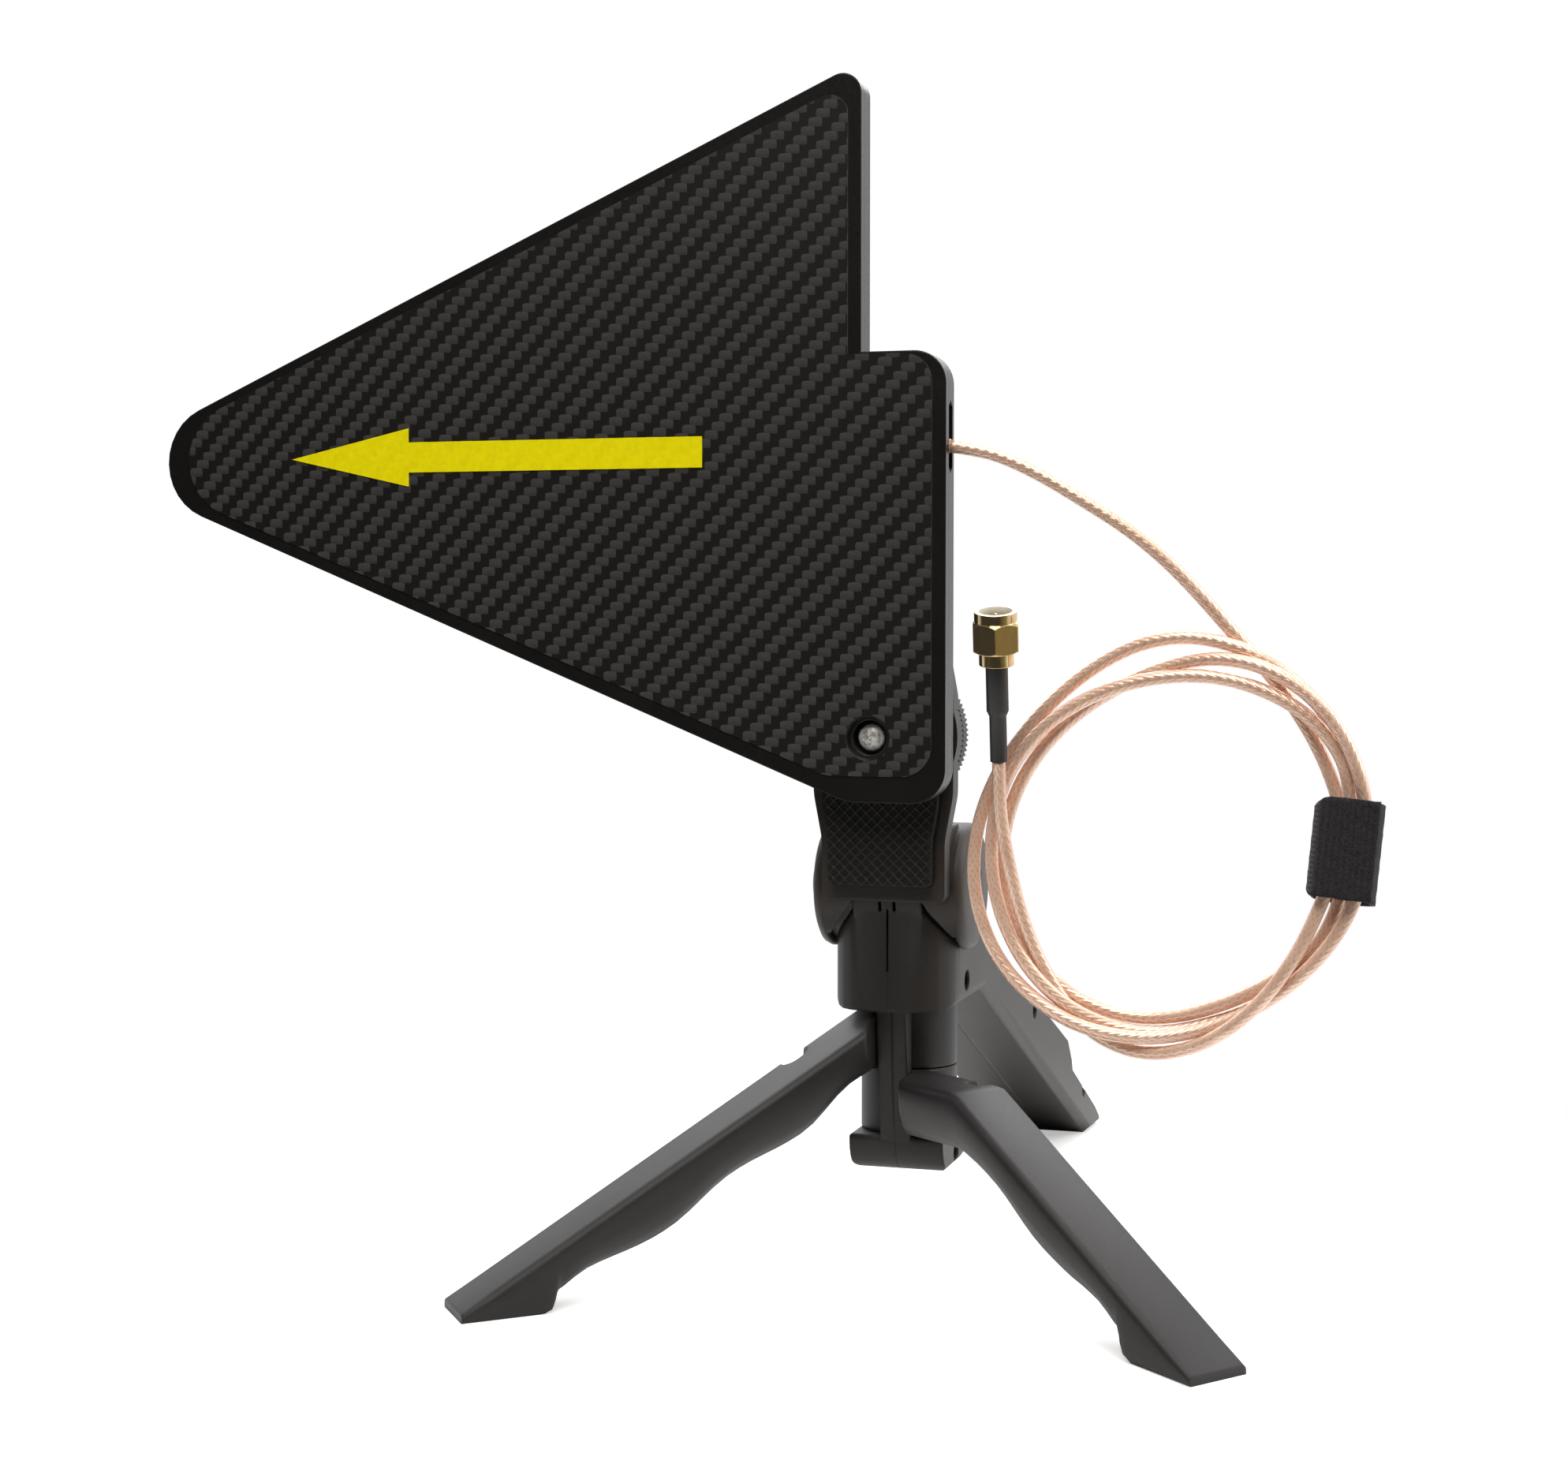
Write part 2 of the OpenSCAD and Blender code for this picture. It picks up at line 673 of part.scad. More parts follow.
module tilt_bolt() {
    dome = 0.6;
    head_x = -ear_out - bolt_head_t;
    color([0.05, 0.05, 0.05]) placed() translate([head_x, tilt_y, tilt_z]) rotate([0, 90, 0]) {
        cylinder(r1 = bolt_head_r - dome, r2 = bolt_head_r, h = dome);
        translate([0, 0, dome]) cylinder(r = bolt_head_r, h = bolt_head_t - dome);
        cylinder(r = bolt_r, h = head_w + bolt_head_t - 0.5);
    }
}

module tilt_nut() {
    color([0.6, 0.6, 0.6]) placed() difference() {
        translate([ear_out - nut_recess, tilt_y, tilt_z]) rotate([0, 90, 0])
            cylinder(d = nut_across / cos(30), h = nut_t, $fn = 6);
        along_x(ear_out - nut_recess - 1, tilt_y, tilt_z, bolt_r, nut_t + 2);
    }
}

// The two-shell body with its grip, drawn for the +X side

// Block between the ears: round front corners and shoulders that slope up to the lug
module shell_block() {
    plan = [[-body_half_w, block_back], [-body_half_w, body_front], [body_half_w, body_front],
        [body_half_w, block_back]];
    bend_y = grip_start.x + (grip_start.y - block_z) / underside_slope;
    brow_z = shoulder_z + 2.2;
    front = [[-body_half_w, block_z], [body_half_w, block_z], [body_half_w, brow_z],
        [lug_w, body_top], [-lug_w, body_top], [-body_half_w, brow_z]];
    intersection() {
        translate([0, 0, block_z]) linear_extrude(body_top - block_z) polygon(rounded(plan, [0, 9, 9, 0]));
        lengthways(body_front, block_back - body_front)
            polygon(rounded(front, [2.7, 2.7, 1.5, 0.5, 0.5, 1.5]));
        sideways(-body_half_w, 2 * body_half_w) polygon([[body_front, block_z], [bend_y, block_z],
            [block_back, underside(block_back)], [block_back, grip_top(block_back)], [grip_top_y, shoulder_z],
            [grip_top_y - 8, body_top], [body_front, body_top]]);
    }
}

// Lug that the ears clasp
module shell_lug() {
    along_x(-lug_w, tilt_y, tilt_z, ear_r - gap, 2 * lug_w);
}

// One straight stretch of the grip with eased side edges
module grip_stretch(corners, radii) {
    eased_corners = inset(corners, same(corners, grip_edge));
    hull() {
        sideways(0, body_half_w - grip_edge) polygon(rounded(corners, radii, 3));
        sideways(0, body_half_w) polygon(rounded(eased_corners, same(corners, 0), 3));
    }
}

// Grip: a thick stretch with a sloping top and a thin stretch that ends in the rear foot
module shell_grip() {
    step_low = 0.88 * heel_y;
    thin_start = 0.814 * step_y;
    thick = [grip_start, [step_low, underside(step_low)], [step_y + 3.5, grip_step_z - 5],
        [step_y - 2, grip_top(step_y - 2)], [grip_top_y, shoulder_z], [grip_start.x, shoulder_z]];
    thin = [[thin_start, underside(thin_start)], [heel_y, 0], [grip_reach, 0], [grip_reach, 2], foot_top,
        [step_y - 6, foot_top_z(step_y - 6)]];
    grip_stretch(thick, [0, 0, 2, 3, 0, 0]);
    grip_stretch(thin, [0, 0, 1, 1, 6, 0]);
}

// Web in front of the knuckles and the bar below them
module shell_web() {
    sideways(-web_half_w, 2 * web_half_w)
        polygon([[web_back, bar_z - 1], [web_back, block_z + 1], [-14.7, block_z + 1],
            [bar_front - 0.4, bar_z - 1]]);
}

module shell_bar() {
    front = [[-bar_half_w, bar_low], [bar_half_w, bar_low], [bar_half_w, bar_z], [-bar_half_w, bar_z]];
    side = [[bar_front, bar_low], [bar_back, bar_low], [bar_back, bar_z], [bar_front, bar_z]];
    intersection() {
        lengthways(bar_front, bar_back - bar_front) polygon(rounded(front, [1.8, 1.8, 0.6, 0.6]));
        sideways(-bar_half_w, 2 * bar_half_w) polygon(rounded(side, [6, 6, 0.8, 0.8]));
    }
}

// Right-hand half of the body before its screw holes are cut
module shell() {
    difference() {
        union() {
            intersection() {
                union() {
                    shell_block();
                    shell_lug();
                    shell_web();
                    shell_bar();
                }
                translate([0, -far, 0]) cube([far, 2 * far, far]);
            }
            shell_grip();
        }
        ear(gap);
        translate([-1, body_front - 1, shoulder_z - 4]) cube([1 + seam_w / 2, 1 + seam_d, 12]);
        translate([latch_x, body_front - 3, body_top - 1.6]) cube([0.6, 3 + 2 * seam_d, 10]);
        along_x(-1, tilt_y, tilt_z, bolt_r + run_fit, lug_w + 2);
        translate([0, 0, post_low]) cylinder(r = post_r, h = post_high - post_low);
    }
}

module body_right() {
    color([0.05, 0.05, 0.055]) placed() difference() {
        shell();
        for (p = shell_screws) {
            along_x(screw_seat, p[0], p[1], screw_head_r + 0.2, body_half_w);
            along_x(-1, p[0], p[1], screw_shank_r + 0.1, screw_seat + 2);
        }
    }
}

module body_left() {
    color([0.05, 0.05, 0.055]) placed() mirror([1, 0, 0]) difference() {
        shell();
        for (p = shell_screws)
            along_x(-1, p[0], p[1], screw_shank_r, screw_shank_l - screw_seat + 1);
    }
}

module body_screws() {
    color([0.04, 0.04, 0.04]) placed() for (p = shell_screws) {
        along_x(screw_seat, p[0], p[1], screw_head_r, screw_head_t);
        along_x(screw_seat - screw_shank_l, p[0], p[1], screw_shank_r, screw_shank_l);
    }
}

module leg_post() {
    color([0.05, 0.05, 0.055]) placed()
        translate([0, 0, post_low]) cylinder(r = post_r, h = post_high - post_low);
}

// Legs

// Height of the sloping top face at s
function leg_line(s) = tip_t + (leg_reach - s) * leg_slope;

// Height of the underside: finger waves, then a round heel, then the flat foot
function leg_low(s) =
    s < heel_s - 2 ? leg_line(s) - eased(grip_waves, s) :
    (leg_line(heel_s - 2) - heel_depth) * eased(heel_curve, s);

// Section across a leg at s between heights low and high, with a leaning inner side
function leg_section(s, low, high) =
    let (
        lean = eased(side_lean, s),
        crest = min(1.6, 0.5 * (high - low)),
        edge = min(1, 0.5 * (high - low)),
        drop = high - crest - low)
    concat(
        [for (k = [4:-1:0])
            let (a = 22.5 * k)
            [s, inner_off + lean * (1 - cos(a)), high - crest - drop * sin(a)]],
        [for (a = [30:30:90]) [s, inner_off + crest * (1 - cos(a)), high - crest * (1 - sin(a))]],
        [for (a = [0:30:90]) [s, outer_off - edge * (1 - sin(a)), high - edge * (1 - cos(a))]],
        [[s, outer_off, low]]);

// Skin of a leg that leaves its knuckle a little inside heights knuckle[0] and knuckle[1]
module leg_bar(knuckle) {
    root_low = knuckle[0] + 0.1;
    root_high = knuckle[1] - 0.1;
    low = function (s) min(root_low, leg_low(s));
    high = function (s) min(root_high, leg_line(s));
    stations = concat([for (s = [leg_root_s:2.5:heel_s - 3]) s],
        [heel_s - 2, heel_s - 1.2, heel_s - 0.6, heel_s - 0.2, heel_s + 0.6, heel_s + 2.2,
        leg_reach - 6, leg_reach]);
    sections = [for (s = stations) leg_section(s, low(s), high(s))];
    polyhedron([for (ring = sections) each ring], skin_faces(len(stations), len(sections[0])),
        convexity = 6);
}

// Right-hand leg, with a small round notch in the edge of its flat side
module leg(knuckle) {
    difference() {
        union() {
            translate([0, 0, knuckle[0]]) cylinder(r = knuckle_r, h = knuckle[1] - knuckle[0]);
            rotate([0, 0, -leg_angle]) leg_bar(knuckle);
        }
        translate([0, 0, knuckle[0] - 1]) cylinder(r = post_r + run_fit, h = knuckle[1] - knuckle[0] + 2);
        translate([web_clear - far, -knuckle_r - far, 0]) cube(far);
        rotate([0, 0, -leg_angle]) translate([notch_s, outer_off - notch_depth + notch_r, 0]) {
            cylinder(r = notch_r, h = far);
            translate([-notch_r, 0, 0]) cube([2 * notch_r, notch_depth, far]);
        }
    }
}

module leg_right() {
    color([0.05, 0.05, 0.055]) placed() leg(right_knuckle);
}

module leg_left() {
    color([0.05, 0.05, 0.055]) placed() mirror([1, 0, 0]) leg(left_knuckle);
}

// Cable, coil, strap and plug

module coax_lead() {
    color([0.8, 0.55, 0.45]) placed() cable(lead_route, coax_r);
}

module coax_coil() {
    half_w = bundle_w / 2;
    half_t = bundle_t / 2;
    section = [[coil_r - half_w, -half_t], [coil_r + half_w, -half_t], [coil_r + half_w, half_t],
        [coil_r - half_w, half_t]];
    color([0.8, 0.55, 0.45]) placed() translate(coil_c) rotate([90, 0, 0])
        rotate_extrude($fn = 96) polygon(rounded(section, [2, 2, 2, 2], 3));
}

module coax_tail() {
    color([0.8, 0.55, 0.45]) placed() cable(tail_route, coax_r);
}

module coil_strap() {
    inner_x = sqrt(pow(coil_r - bundle_w / 2, 2) - pow(strap_w / 2, 2));
    wide = coil_r + bundle_w / 2 - inner_x;
    color([0.03, 0.03, 0.035]) placed() translate([coil_c.x, coil_c.y, coil_c.z - strap_w / 2])
        linear_extrude(strap_w) difference() {
            union() {
                translate([inner_x - strap_t, -bundle_t / 2 - strap_t])
                    square([wide + 2 * strap_t, bundle_t + 2 * strap_t]);
                translate([inner_x + wide, -bundle_t / 2 - 2 * strap_t])
                    square([strap_t + strap_tab, 2 * strap_t]);
            }
            translate([inner_x, -bundle_t / 2]) square([wide, bundle_t]);
        }
}

// Moves a shape drawn upright about Z to the leaning plug, which turns at the foot of its sleeve
module at_plug() {
    translate([plug_x, plug_y, boot_low[0]]) rotate(plug_lean) translate([0, 0, -boot_low[0]]) children();
}

// Shape turned about the plug's axis
module turned_plug() {
    at_plug() rotate_extrude() children();
}

module heat_shrink() {
    top = nut_low - barrel_l;
    color([0.03, 0.03, 0.03]) placed() turned_plug() polygon([[0, boot_low[0]], [boot_r[0], boot_low[0]],
        [boot_r[0], boot_low[1] - 0.5], [boot_r[1], boot_low[1] + 0.5], [boot_r[1], top], [0, top]]);
}

module sma_body() {
    shoulder = nut_low + nut_wall;
    color([0.78, 0.68, 0.45]) placed() turned_plug() polygon([[0, nut_low - barrel_l],
        [barrel_r, nut_low - barrel_l], [barrel_r, nut_low - 0.15], [neck_r, nut_low - 0.15],
        [neck_r, shoulder + 0.15], [flange_r, shoulder + 0.15], [flange_r, shoulder + flange_t],
        [sleeve_r, shoulder + flange_t], [sleeve_r, sleeve_top], [dielectric_r, sleeve_top],
        [dielectric_r, nut_low], [0, nut_low]]);
}

module sma_insulator() {
    color([0.95, 0.95, 0.93]) placed() turned_plug()
        polygon([[pin_r, nut_low], [dielectric_r, nut_low], [dielectric_r, sleeve_top], [pin_r, sleeve_top]]);
}

module sma_pin() {
    color([0.85, 0.7, 0.3]) placed() turned_plug() polygon([[0, nut_low], [pin_r, nut_low],
        [pin_r, plug_top - 1], [pin_r / 2, plug_top - 0.5], [0, plug_top - 0.5]]);
}

module sma_nut() {
    corner_r = nut_flats / 2 / cos(30);
    flat_r = nut_flats / 2 - 0.1;
    color([0.78, 0.68, 0.4]) placed() at_plug() difference() {
        union() {
            translate([0, 0, nut_low]) intersection() {
                rotate([0, 0, 40]) cylinder(r = corner_r, h = nut_hex_l, $fn = 6);
                rotate_extrude() polygon([[0, 0], [flat_r, 0], [corner_r, nut_edge],
                    [corner_r, nut_hex_l - nut_edge], [flat_r, nut_hex_l], [0, nut_hex_l]]);
            }
            translate([0, 0, nut_low + 1]) cylinder(r = nut_ring_r, h = nut_hex_l + nut_ring_l - 1);
        }
        translate([0, 0, nut_low - 1]) cylinder(r = neck_r + run_fit, h = nut_wall + 2);
        translate([0, 0, nut_low + nut_wall]) cylinder(r = nut_bore_r, h = plug_top);
    }
}

front_plate();
carbon_film();
arrow_decal();
core_frame();
antenna_board();
radiator_front();
radiator_rear();
rear_plate();
thread_insert();
feed_coax();
platform();
platform_pad();
camera_screw();
screw_wheel();
tilt_bolt();
tilt_nut();
body_left();
body_right();
body_screws();
leg_post();
leg_left();
leg_right();
coax_lead();
coax_coil();
coax_tail();
coil_strap();
heat_shrink();
sma_body();
sma_insulator();
sma_pin();
sma_nut();
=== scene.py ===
import math

import bpy
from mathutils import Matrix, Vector
from mathutils.bvhtree import BVHTree


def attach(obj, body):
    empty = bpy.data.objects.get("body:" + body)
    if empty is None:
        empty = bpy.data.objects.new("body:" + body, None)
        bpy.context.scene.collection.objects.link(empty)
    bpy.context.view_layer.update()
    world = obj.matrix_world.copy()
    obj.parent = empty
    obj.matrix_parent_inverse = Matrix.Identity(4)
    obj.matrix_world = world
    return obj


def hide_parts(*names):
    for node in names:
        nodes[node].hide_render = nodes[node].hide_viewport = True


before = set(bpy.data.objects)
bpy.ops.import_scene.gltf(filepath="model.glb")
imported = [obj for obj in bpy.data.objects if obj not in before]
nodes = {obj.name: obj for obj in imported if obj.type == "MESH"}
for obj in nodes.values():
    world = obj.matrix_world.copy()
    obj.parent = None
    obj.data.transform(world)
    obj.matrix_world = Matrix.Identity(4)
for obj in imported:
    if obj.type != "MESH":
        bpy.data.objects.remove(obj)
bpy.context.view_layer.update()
scene = bpy.context.scene
scene.view_settings.view_transform = "Standard"


# Places. What goes through mm() is in millimetres in the tripod's own frame, whose origin lies
# under the leg post. Everything else is in metres in the part's frame.

SHIFT = Vector((35.52524, -39.73263, 0.0))
TILT_Y, TILT_Z = -6.2, 75
SCREW_Z = 104.5
PLUG_FOOT = (24.9, -33.2, 100.8)
PLUG_LEAN, PLUG_SIDE = math.radians(15), math.radians(1.8)


def mm(x, y, z):
    return (Vector((x, y, z)) + SHIFT) / 1000


# Camera, fitted to the photograph

PHOTO_W, FOCAL_PX, SENSOR_W = 1988, 3286, 36
CAMERA_PLACE = (123.8, -492.0, 127.2)
CAMERA_DIP, CAMERA_TURN = 2.64, 16.91

camera = bpy.data.objects.new("camera", bpy.data.cameras.new("camera"))
scene.collection.objects.link(camera)
camera.data.sensor_fit = "HORIZONTAL"
camera.data.sensor_width = SENSOR_W
camera.data.lens = SENSOR_W * FOCAL_PX / PHOTO_W
camera.data.clip_start = 0.01
camera.location = mm(*CAMERA_PLACE)
camera.rotation_euler = (math.radians(90 - CAMERA_DIP), 0, math.radians(CAMERA_TURN))
scene.camera = camera


# Helpers for meshes

def piece(name, verts, faces, material, body, smooth=True):
    mesh = bpy.data.meshes.new(name)
    mesh.from_pydata([tuple(v) for v in verts], [], faces)
    mesh.update()
    for p in mesh.polygons:
        p.use_smooth = smooth
    obj = bpy.data.objects.new(name, mesh)
    scene.collection.objects.link(obj)
    mesh.materials.append(material)
    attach(obj, body)
    return obj


def bar_faces(first, rows, sides, flip=False):
    """Faces of a closed bar whose corners lie in rings, row after row, from corner first on."""
    turn = -1 if flip else 1
    faces = []
    for row in range(first, first + (rows - 1) * sides, sides):
        for k in range(sides):
            n = (k + 1) % sides
            faces.append((row + k, row + n, row + sides + n, row + sides + k)[::turn])
    last = first + (rows - 1) * sides
    faces.append(tuple(range(first, first + sides))[::-turn])
    faces.append(tuple(range(last, last + sides))[::turn])
    return faces


def surface(name):
    mesh = nodes[name].data
    corners = [v.co for v in mesh.vertices]
    return BVHTree.FromPolygons(corners, [p.vertices for p in mesh.polygons])


# Helpers for nodes

def feed(tree, socket, value):
    if isinstance(value, bpy.types.NodeSocket):
        tree.links.new(value, socket)
    else:
        socket.default_value = value


def add(tree, kind, inputs=None, **settings):
    n = tree.nodes.new(kind)
    for key, value in settings.items():
        setattr(n, key, value)
    for key, value in (inputs or {}).items():
        feed(tree, n.inputs[key], value)
    return n


def put(tree, shader, **values):
    for key, value in values.items():
        feed(tree, shader.inputs[key.replace("_", " ")], value)


def calc(tree, operation, a, b=0.0, c=0.0, clamp=False):
    n = add(tree, "ShaderNodeMath", {0: a, 1: b, 2: c}, operation=operation, use_clamp=clamp)
    return n.outputs[0]


def power_of(tree, value, unit, power):
    """A value in some unit, without its sign, to a power."""
    return calc(tree, "POWER", calc(tree, "ABSOLUTE", calc(tree, "DIVIDE", value, unit)), power)


def blend_colour(tree, factor, a, b):
    n = add(tree, "ShaderNodeMix", {0: factor, 6: a, 7: b}, data_type="RGBA")
    return n.outputs[2]


def spread(tree, value, low, high, to_low, to_high):
    n = add(tree, "ShaderNodeMapRange", {0: value, 1: low, 2: high, 3: to_low, 4: to_high})
    return n.outputs[0]


def noise(tree, vector, scale, detail=2.0, rough=0.5):
    n = add(tree, "ShaderNodeTexNoise", {
        "Vector": vector, "Scale": scale, "Detail": detail, "Roughness": rough})
    return n.outputs[0]


def scaled(tree, vector, scale):
    return add(tree, "ShaderNodeMapping", {"Vector": vector, "Scale": scale}).outputs[0]


def split(tree, vector):
    outputs = add(tree, "ShaderNodeSeparateXYZ", {0: vector}).outputs
    return outputs["X"], outputs["Y"], outputs["Z"]


def facing_y(tree):
    """How far a face looks along Y, forwards or backwards."""
    normal = add(tree, "ShaderNodeNewGeometry").outputs["True Normal"]
    return calc(tree, "ABSOLUTE", split(tree, normal)[1])


def from_axis(tree, where, foot, way):
    """Distance of a place from a line, and how far along the line it lies."""
    def vector(operation, inputs, output):
        n = add(tree, "ShaderNodeVectorMath", inputs, operation=operation)
        return n.outputs[output]

    off = vector("SUBTRACT", {0: where, 1: foot}, "Vector")
    along = vector("DOT_PRODUCT", {0: off, 1: way}, "Value")
    on_line = vector("SCALE", {0: way, "Scale": along}, "Vector")
    return vector("DISTANCE", {0: off, 1: on_line}, "Value"), along


def bumped(tree, height, strength, distance, edge=0.0):
    inputs = {"Height": height, "Strength": strength, "Distance": distance}
    if edge:
        inputs["Normal"] = add(tree, "ShaderNodeBevel", {"Radius": edge}, samples=4).outputs[0]
    return add(tree, "ShaderNodeBump", inputs).outputs[0]


def rgb(r, g, b):
    return (r, g, b, 1.0)


def start(name):
    m = bpy.data.materials.new(name)
    m.use_nodes = True
    tree = m.node_tree
    shader = tree.nodes["Principled BSDF"]
    where = add(tree, "ShaderNodeTexCoord").outputs["Object"]
    return m, tree, shader, where


# Materials

IN_MM = (1000, 1000, 1000)

# The film's twill, in millimetres: each row lies a row's height to the side of the one below it
TWILL_PITCH, TWILL_ROW, TWILL_SLANT = 5.82, 1.45, 0.0756
PATCH_HALF_W, PATCH_HALF_H, PATCH_MIDDLE, PATCH_BOW = 1.34, 0.88, 0.72, 0.06

# Crossed ridges of the pad, and the bore, thread and rim that the plug and screw show, with painted
# shade in the bore and on the thread and a painted highlight at the rim
RIDGE_GAP = 0.0021
NUT_BORE_R, NUT_SHADE_DEEP, NUT_SHADE_MOUTH = 0.00312, 0.0258, 0.0277
SCREW_HIGHLIGHT_R, SCREW_FACE_R, SCREW_THREAD_R = 0.0021, 0.0023, 0.0026

# Braid of the cable, and ribs and hem of the strap
BRAID_STRANDS, BRAID_REPEAT, BRAID_UNIT = 8.0, 8.0, 0.0018
TAPE_LEAN, TAPE_RIB, TAPE_TICK, HEM_LOW, HEM_HIGH = -0.088, 0.0011, 0.0009, 0.1088, 0.1092

SHELL_TONES = rgb(0.0115, 0.0098, 0.0086), rgb(0.016, 0.0138, 0.0122)
LEG_TONES = rgb(0.0115, 0.0103, 0.0106), rgb(0.016, 0.0145, 0.0149)
# The shell's plastic painted lighter for the head's parts: painted light
HEAD_PAINTED_LIGHT_TONES = rgb(0.027, 0.0228, 0.0196), rgb(0.034, 0.0287, 0.0246)
PLATE_TONES = rgb(0.006, 0.0052, 0.0048), rgb(0.009, 0.008, 0.0073)
BOLT_TONES = rgb(0.012, 0.012, 0.012), rgb(0.018, 0.018, 0.018)
SHRINK_TONES = rgb(0.014, 0.0125, 0.0115), rgb(0.022, 0.020, 0.0185)
BOARD_TONES = rgb(0.02, 0.10, 0.05), rgb(0.03, 0.14, 0.07)
PTFE_TONES = rgb(0.82, 0.82, 0.79), rgb(0.87, 0.87, 0.85)
CLOTH_TONES = rgb(0.0068, 0.0056, 0.0051), rgb(0.0585, 0.0595, 0.0605)
# Painted highlight: light grey on the film's cut edges
FILM_EDGE_PAINTED_LIGHT = rgb(0.2, 0.195, 0.19)
YELLOW_TONES = rgb(0.94, 0.85, 0.004), rgb(0.86, 0.76, 0.003)
# Pad rubber, and the painted highlight on its ridges
PAD_AND_RIDGE_HIGHLIGHT_TONES = rgb(0.0052, 0.0044, 0.0038), rgb(0.021, 0.019, 0.018)
STEEL_TONES = rgb(0.72, 0.71, 0.69), rgb(0.58, 0.57, 0.56)
SCREW_TONES = rgb(0.93, 0.93, 0.92), rgb(0.36, 0.35, 0.34)
# A painted highlight ring on the screw's end, and painted shade on its thread
SCREW_RIM_HIGHLIGHT, SCREW_THREAD_SHADE = rgb(0.96, 0.96, 0.96), rgb(0.05, 0.05, 0.05)
COPPER_TONES = rgb(0.80, 0.45, 0.28), rgb(0.70, 0.36, 0.2)
GOLD_TONES = rgb(0.80, 0.63, 0.35), rgb(0.64, 0.49, 0.25)
GOLD_STREAK = (1500, 1500, 60)
# Painted shade in the plug's bore, dark deep inside and pale near the mouth
BORE_SHADE_TONES = rgb(0.22, 0.17, 0.09), rgb(0.96, 0.93, 0.85)
JACKET_TONES = rgb(0.46, 0.205, 0.125), rgb(0.95, 0.765, 0.645)
JACKET_COAT = rgb(0.98, 0.87, 0.80)
PILE_TONES = rgb(0.008, 0.0076, 0.009), rgb(0.05, 0.048, 0.055)
HEM_TONE = rgb(0.16, 0.15, 0.18)


def moulded(name, tones, rough, grain, depth, edge, gloss=0.5):
    m, tree, shader, where = start(name)
    broad = noise(tree, where, 70, 3)
    fine = noise(tree, where, grain, 2, 0.6)
    put(tree, shader,
        Base_Color=blend_colour(tree, spread(tree, broad, 0.3, 0.7, 0, 1), *tones),
        Roughness=spread(tree, fine, 0.3, 0.7, rough - 0.06, rough + 0.06),
        Normal=bumped(tree, fine, 0.35, depth, edge), Specular_IOR_Level=gloss)
    return m


def housing(name, tones, edge=0.0009):
    """The tripod's plastic. With no rounded edge, the seam of a piece on another stays unseen."""
    return moulded(name, tones, 0.45, 5200, 0.00012, edge, 0.35)


def twill_patches(tree, where):
    """Light patches of the twill, each painted lighter at its top and darker towards its bottom:
    painted shade.
    """
    x, _, z = split(tree, where)
    level = calc(tree, "MULTIPLY_ADD", x, -TWILL_SLANT, z)
    row = calc(tree, "FLOOR", calc(tree, "DIVIDE", level, TWILL_ROW))
    lit = None
    for step in (-1, 0, 1):
        own = calc(tree, "ADD", row, step)
        beside = calc(tree, "MULTIPLY_ADD", own, -TWILL_ROW, x)
        across = calc(tree, "FLOORED_MODULO", beside, TWILL_PITCH)
        across = calc(tree, "SUBTRACT", across, TWILL_PITCH / 2)
        above = calc(tree, "SUBTRACT", level, PATCH_MIDDLE)
        up = calc(tree, "MULTIPLY_ADD", own, -TWILL_ROW, above)
        up = calc(tree, "MULTIPLY_ADD", across, TWILL_SLANT, up)
        bowed = calc(tree, "MULTIPLY_ADD", power_of(tree, across, 1.0, 2.0), PATCH_BOW, up)
        rim = calc(tree, "ADD", power_of(tree, across, PATCH_HALF_W, 6.0),
                   power_of(tree, bowed, PATCH_HALF_H, 5.0))
        # Painted shade: each patch fades from its top down to its bottom
        patch = calc(tree, "MULTIPLY", spread(tree, rim, 0.75, 1.1, 1.0, 0.0),
                     spread(tree, up, -0.9, 0.5, 0.55, 1.0))
        lit = calc(tree, "MAXIMUM", lit, patch) if lit else patch
    return lit


def carbon_twill():
    m, tree, shader, where = start("carbon")
    in_mm = scaled(tree, where, IN_MM)
    patch = twill_patches(tree, in_mm)
    fibre = noise(tree, scaled(tree, in_mm, (1.2, 1.2, 9)), 1.0, 2)
    lit = calc(tree, "MULTIPLY", patch, spread(tree, fibre, 0.3, 0.7, 0.75, 1.1))
    # Faces that look neither forwards nor backwards, the film's cut edges, get a painted highlight
    rim = calc(tree, "LESS_THAN", facing_y(tree), 0.5)
    put(tree, shader,
        Base_Color=blend_colour(tree, rim, blend_colour(tree, lit, *CLOTH_TONES), FILM_EDGE_PAINTED_LIGHT),
        Roughness=spread(tree, lit, 0, 1, 0.5, 0.36),
        Normal=bumped(tree, lit, 0.2, 0.0001),
        Specular_IOR_Level=0.3, Coat_Weight=0.12, Coat_Roughness=0.12)
    return m


def printed():
    """Yellow ink on the film, whose twill still shows."""
    m, tree, shader, where = start("decal_yellow")
    weave = twill_patches(tree, scaled(tree, where, IN_MM))
    patch = spread(tree, noise(tree, where, 900, 3), 0.35, 0.65, 0.3, 1)
    mottle = calc(tree, "MULTIPLY_ADD", weave, -0.35, patch, clamp=True)
    put(tree, shader,
        Base_Color=blend_colour(tree, mottle, *YELLOW_TONES),
        Roughness=spread(tree, noise(tree, where, 250, 2), 0.3, 0.7, 0.4, 0.5),
        Normal=bumped(tree, weave, 0.15, 0.00006), Specular_IOR_Level=0.08)
    return m


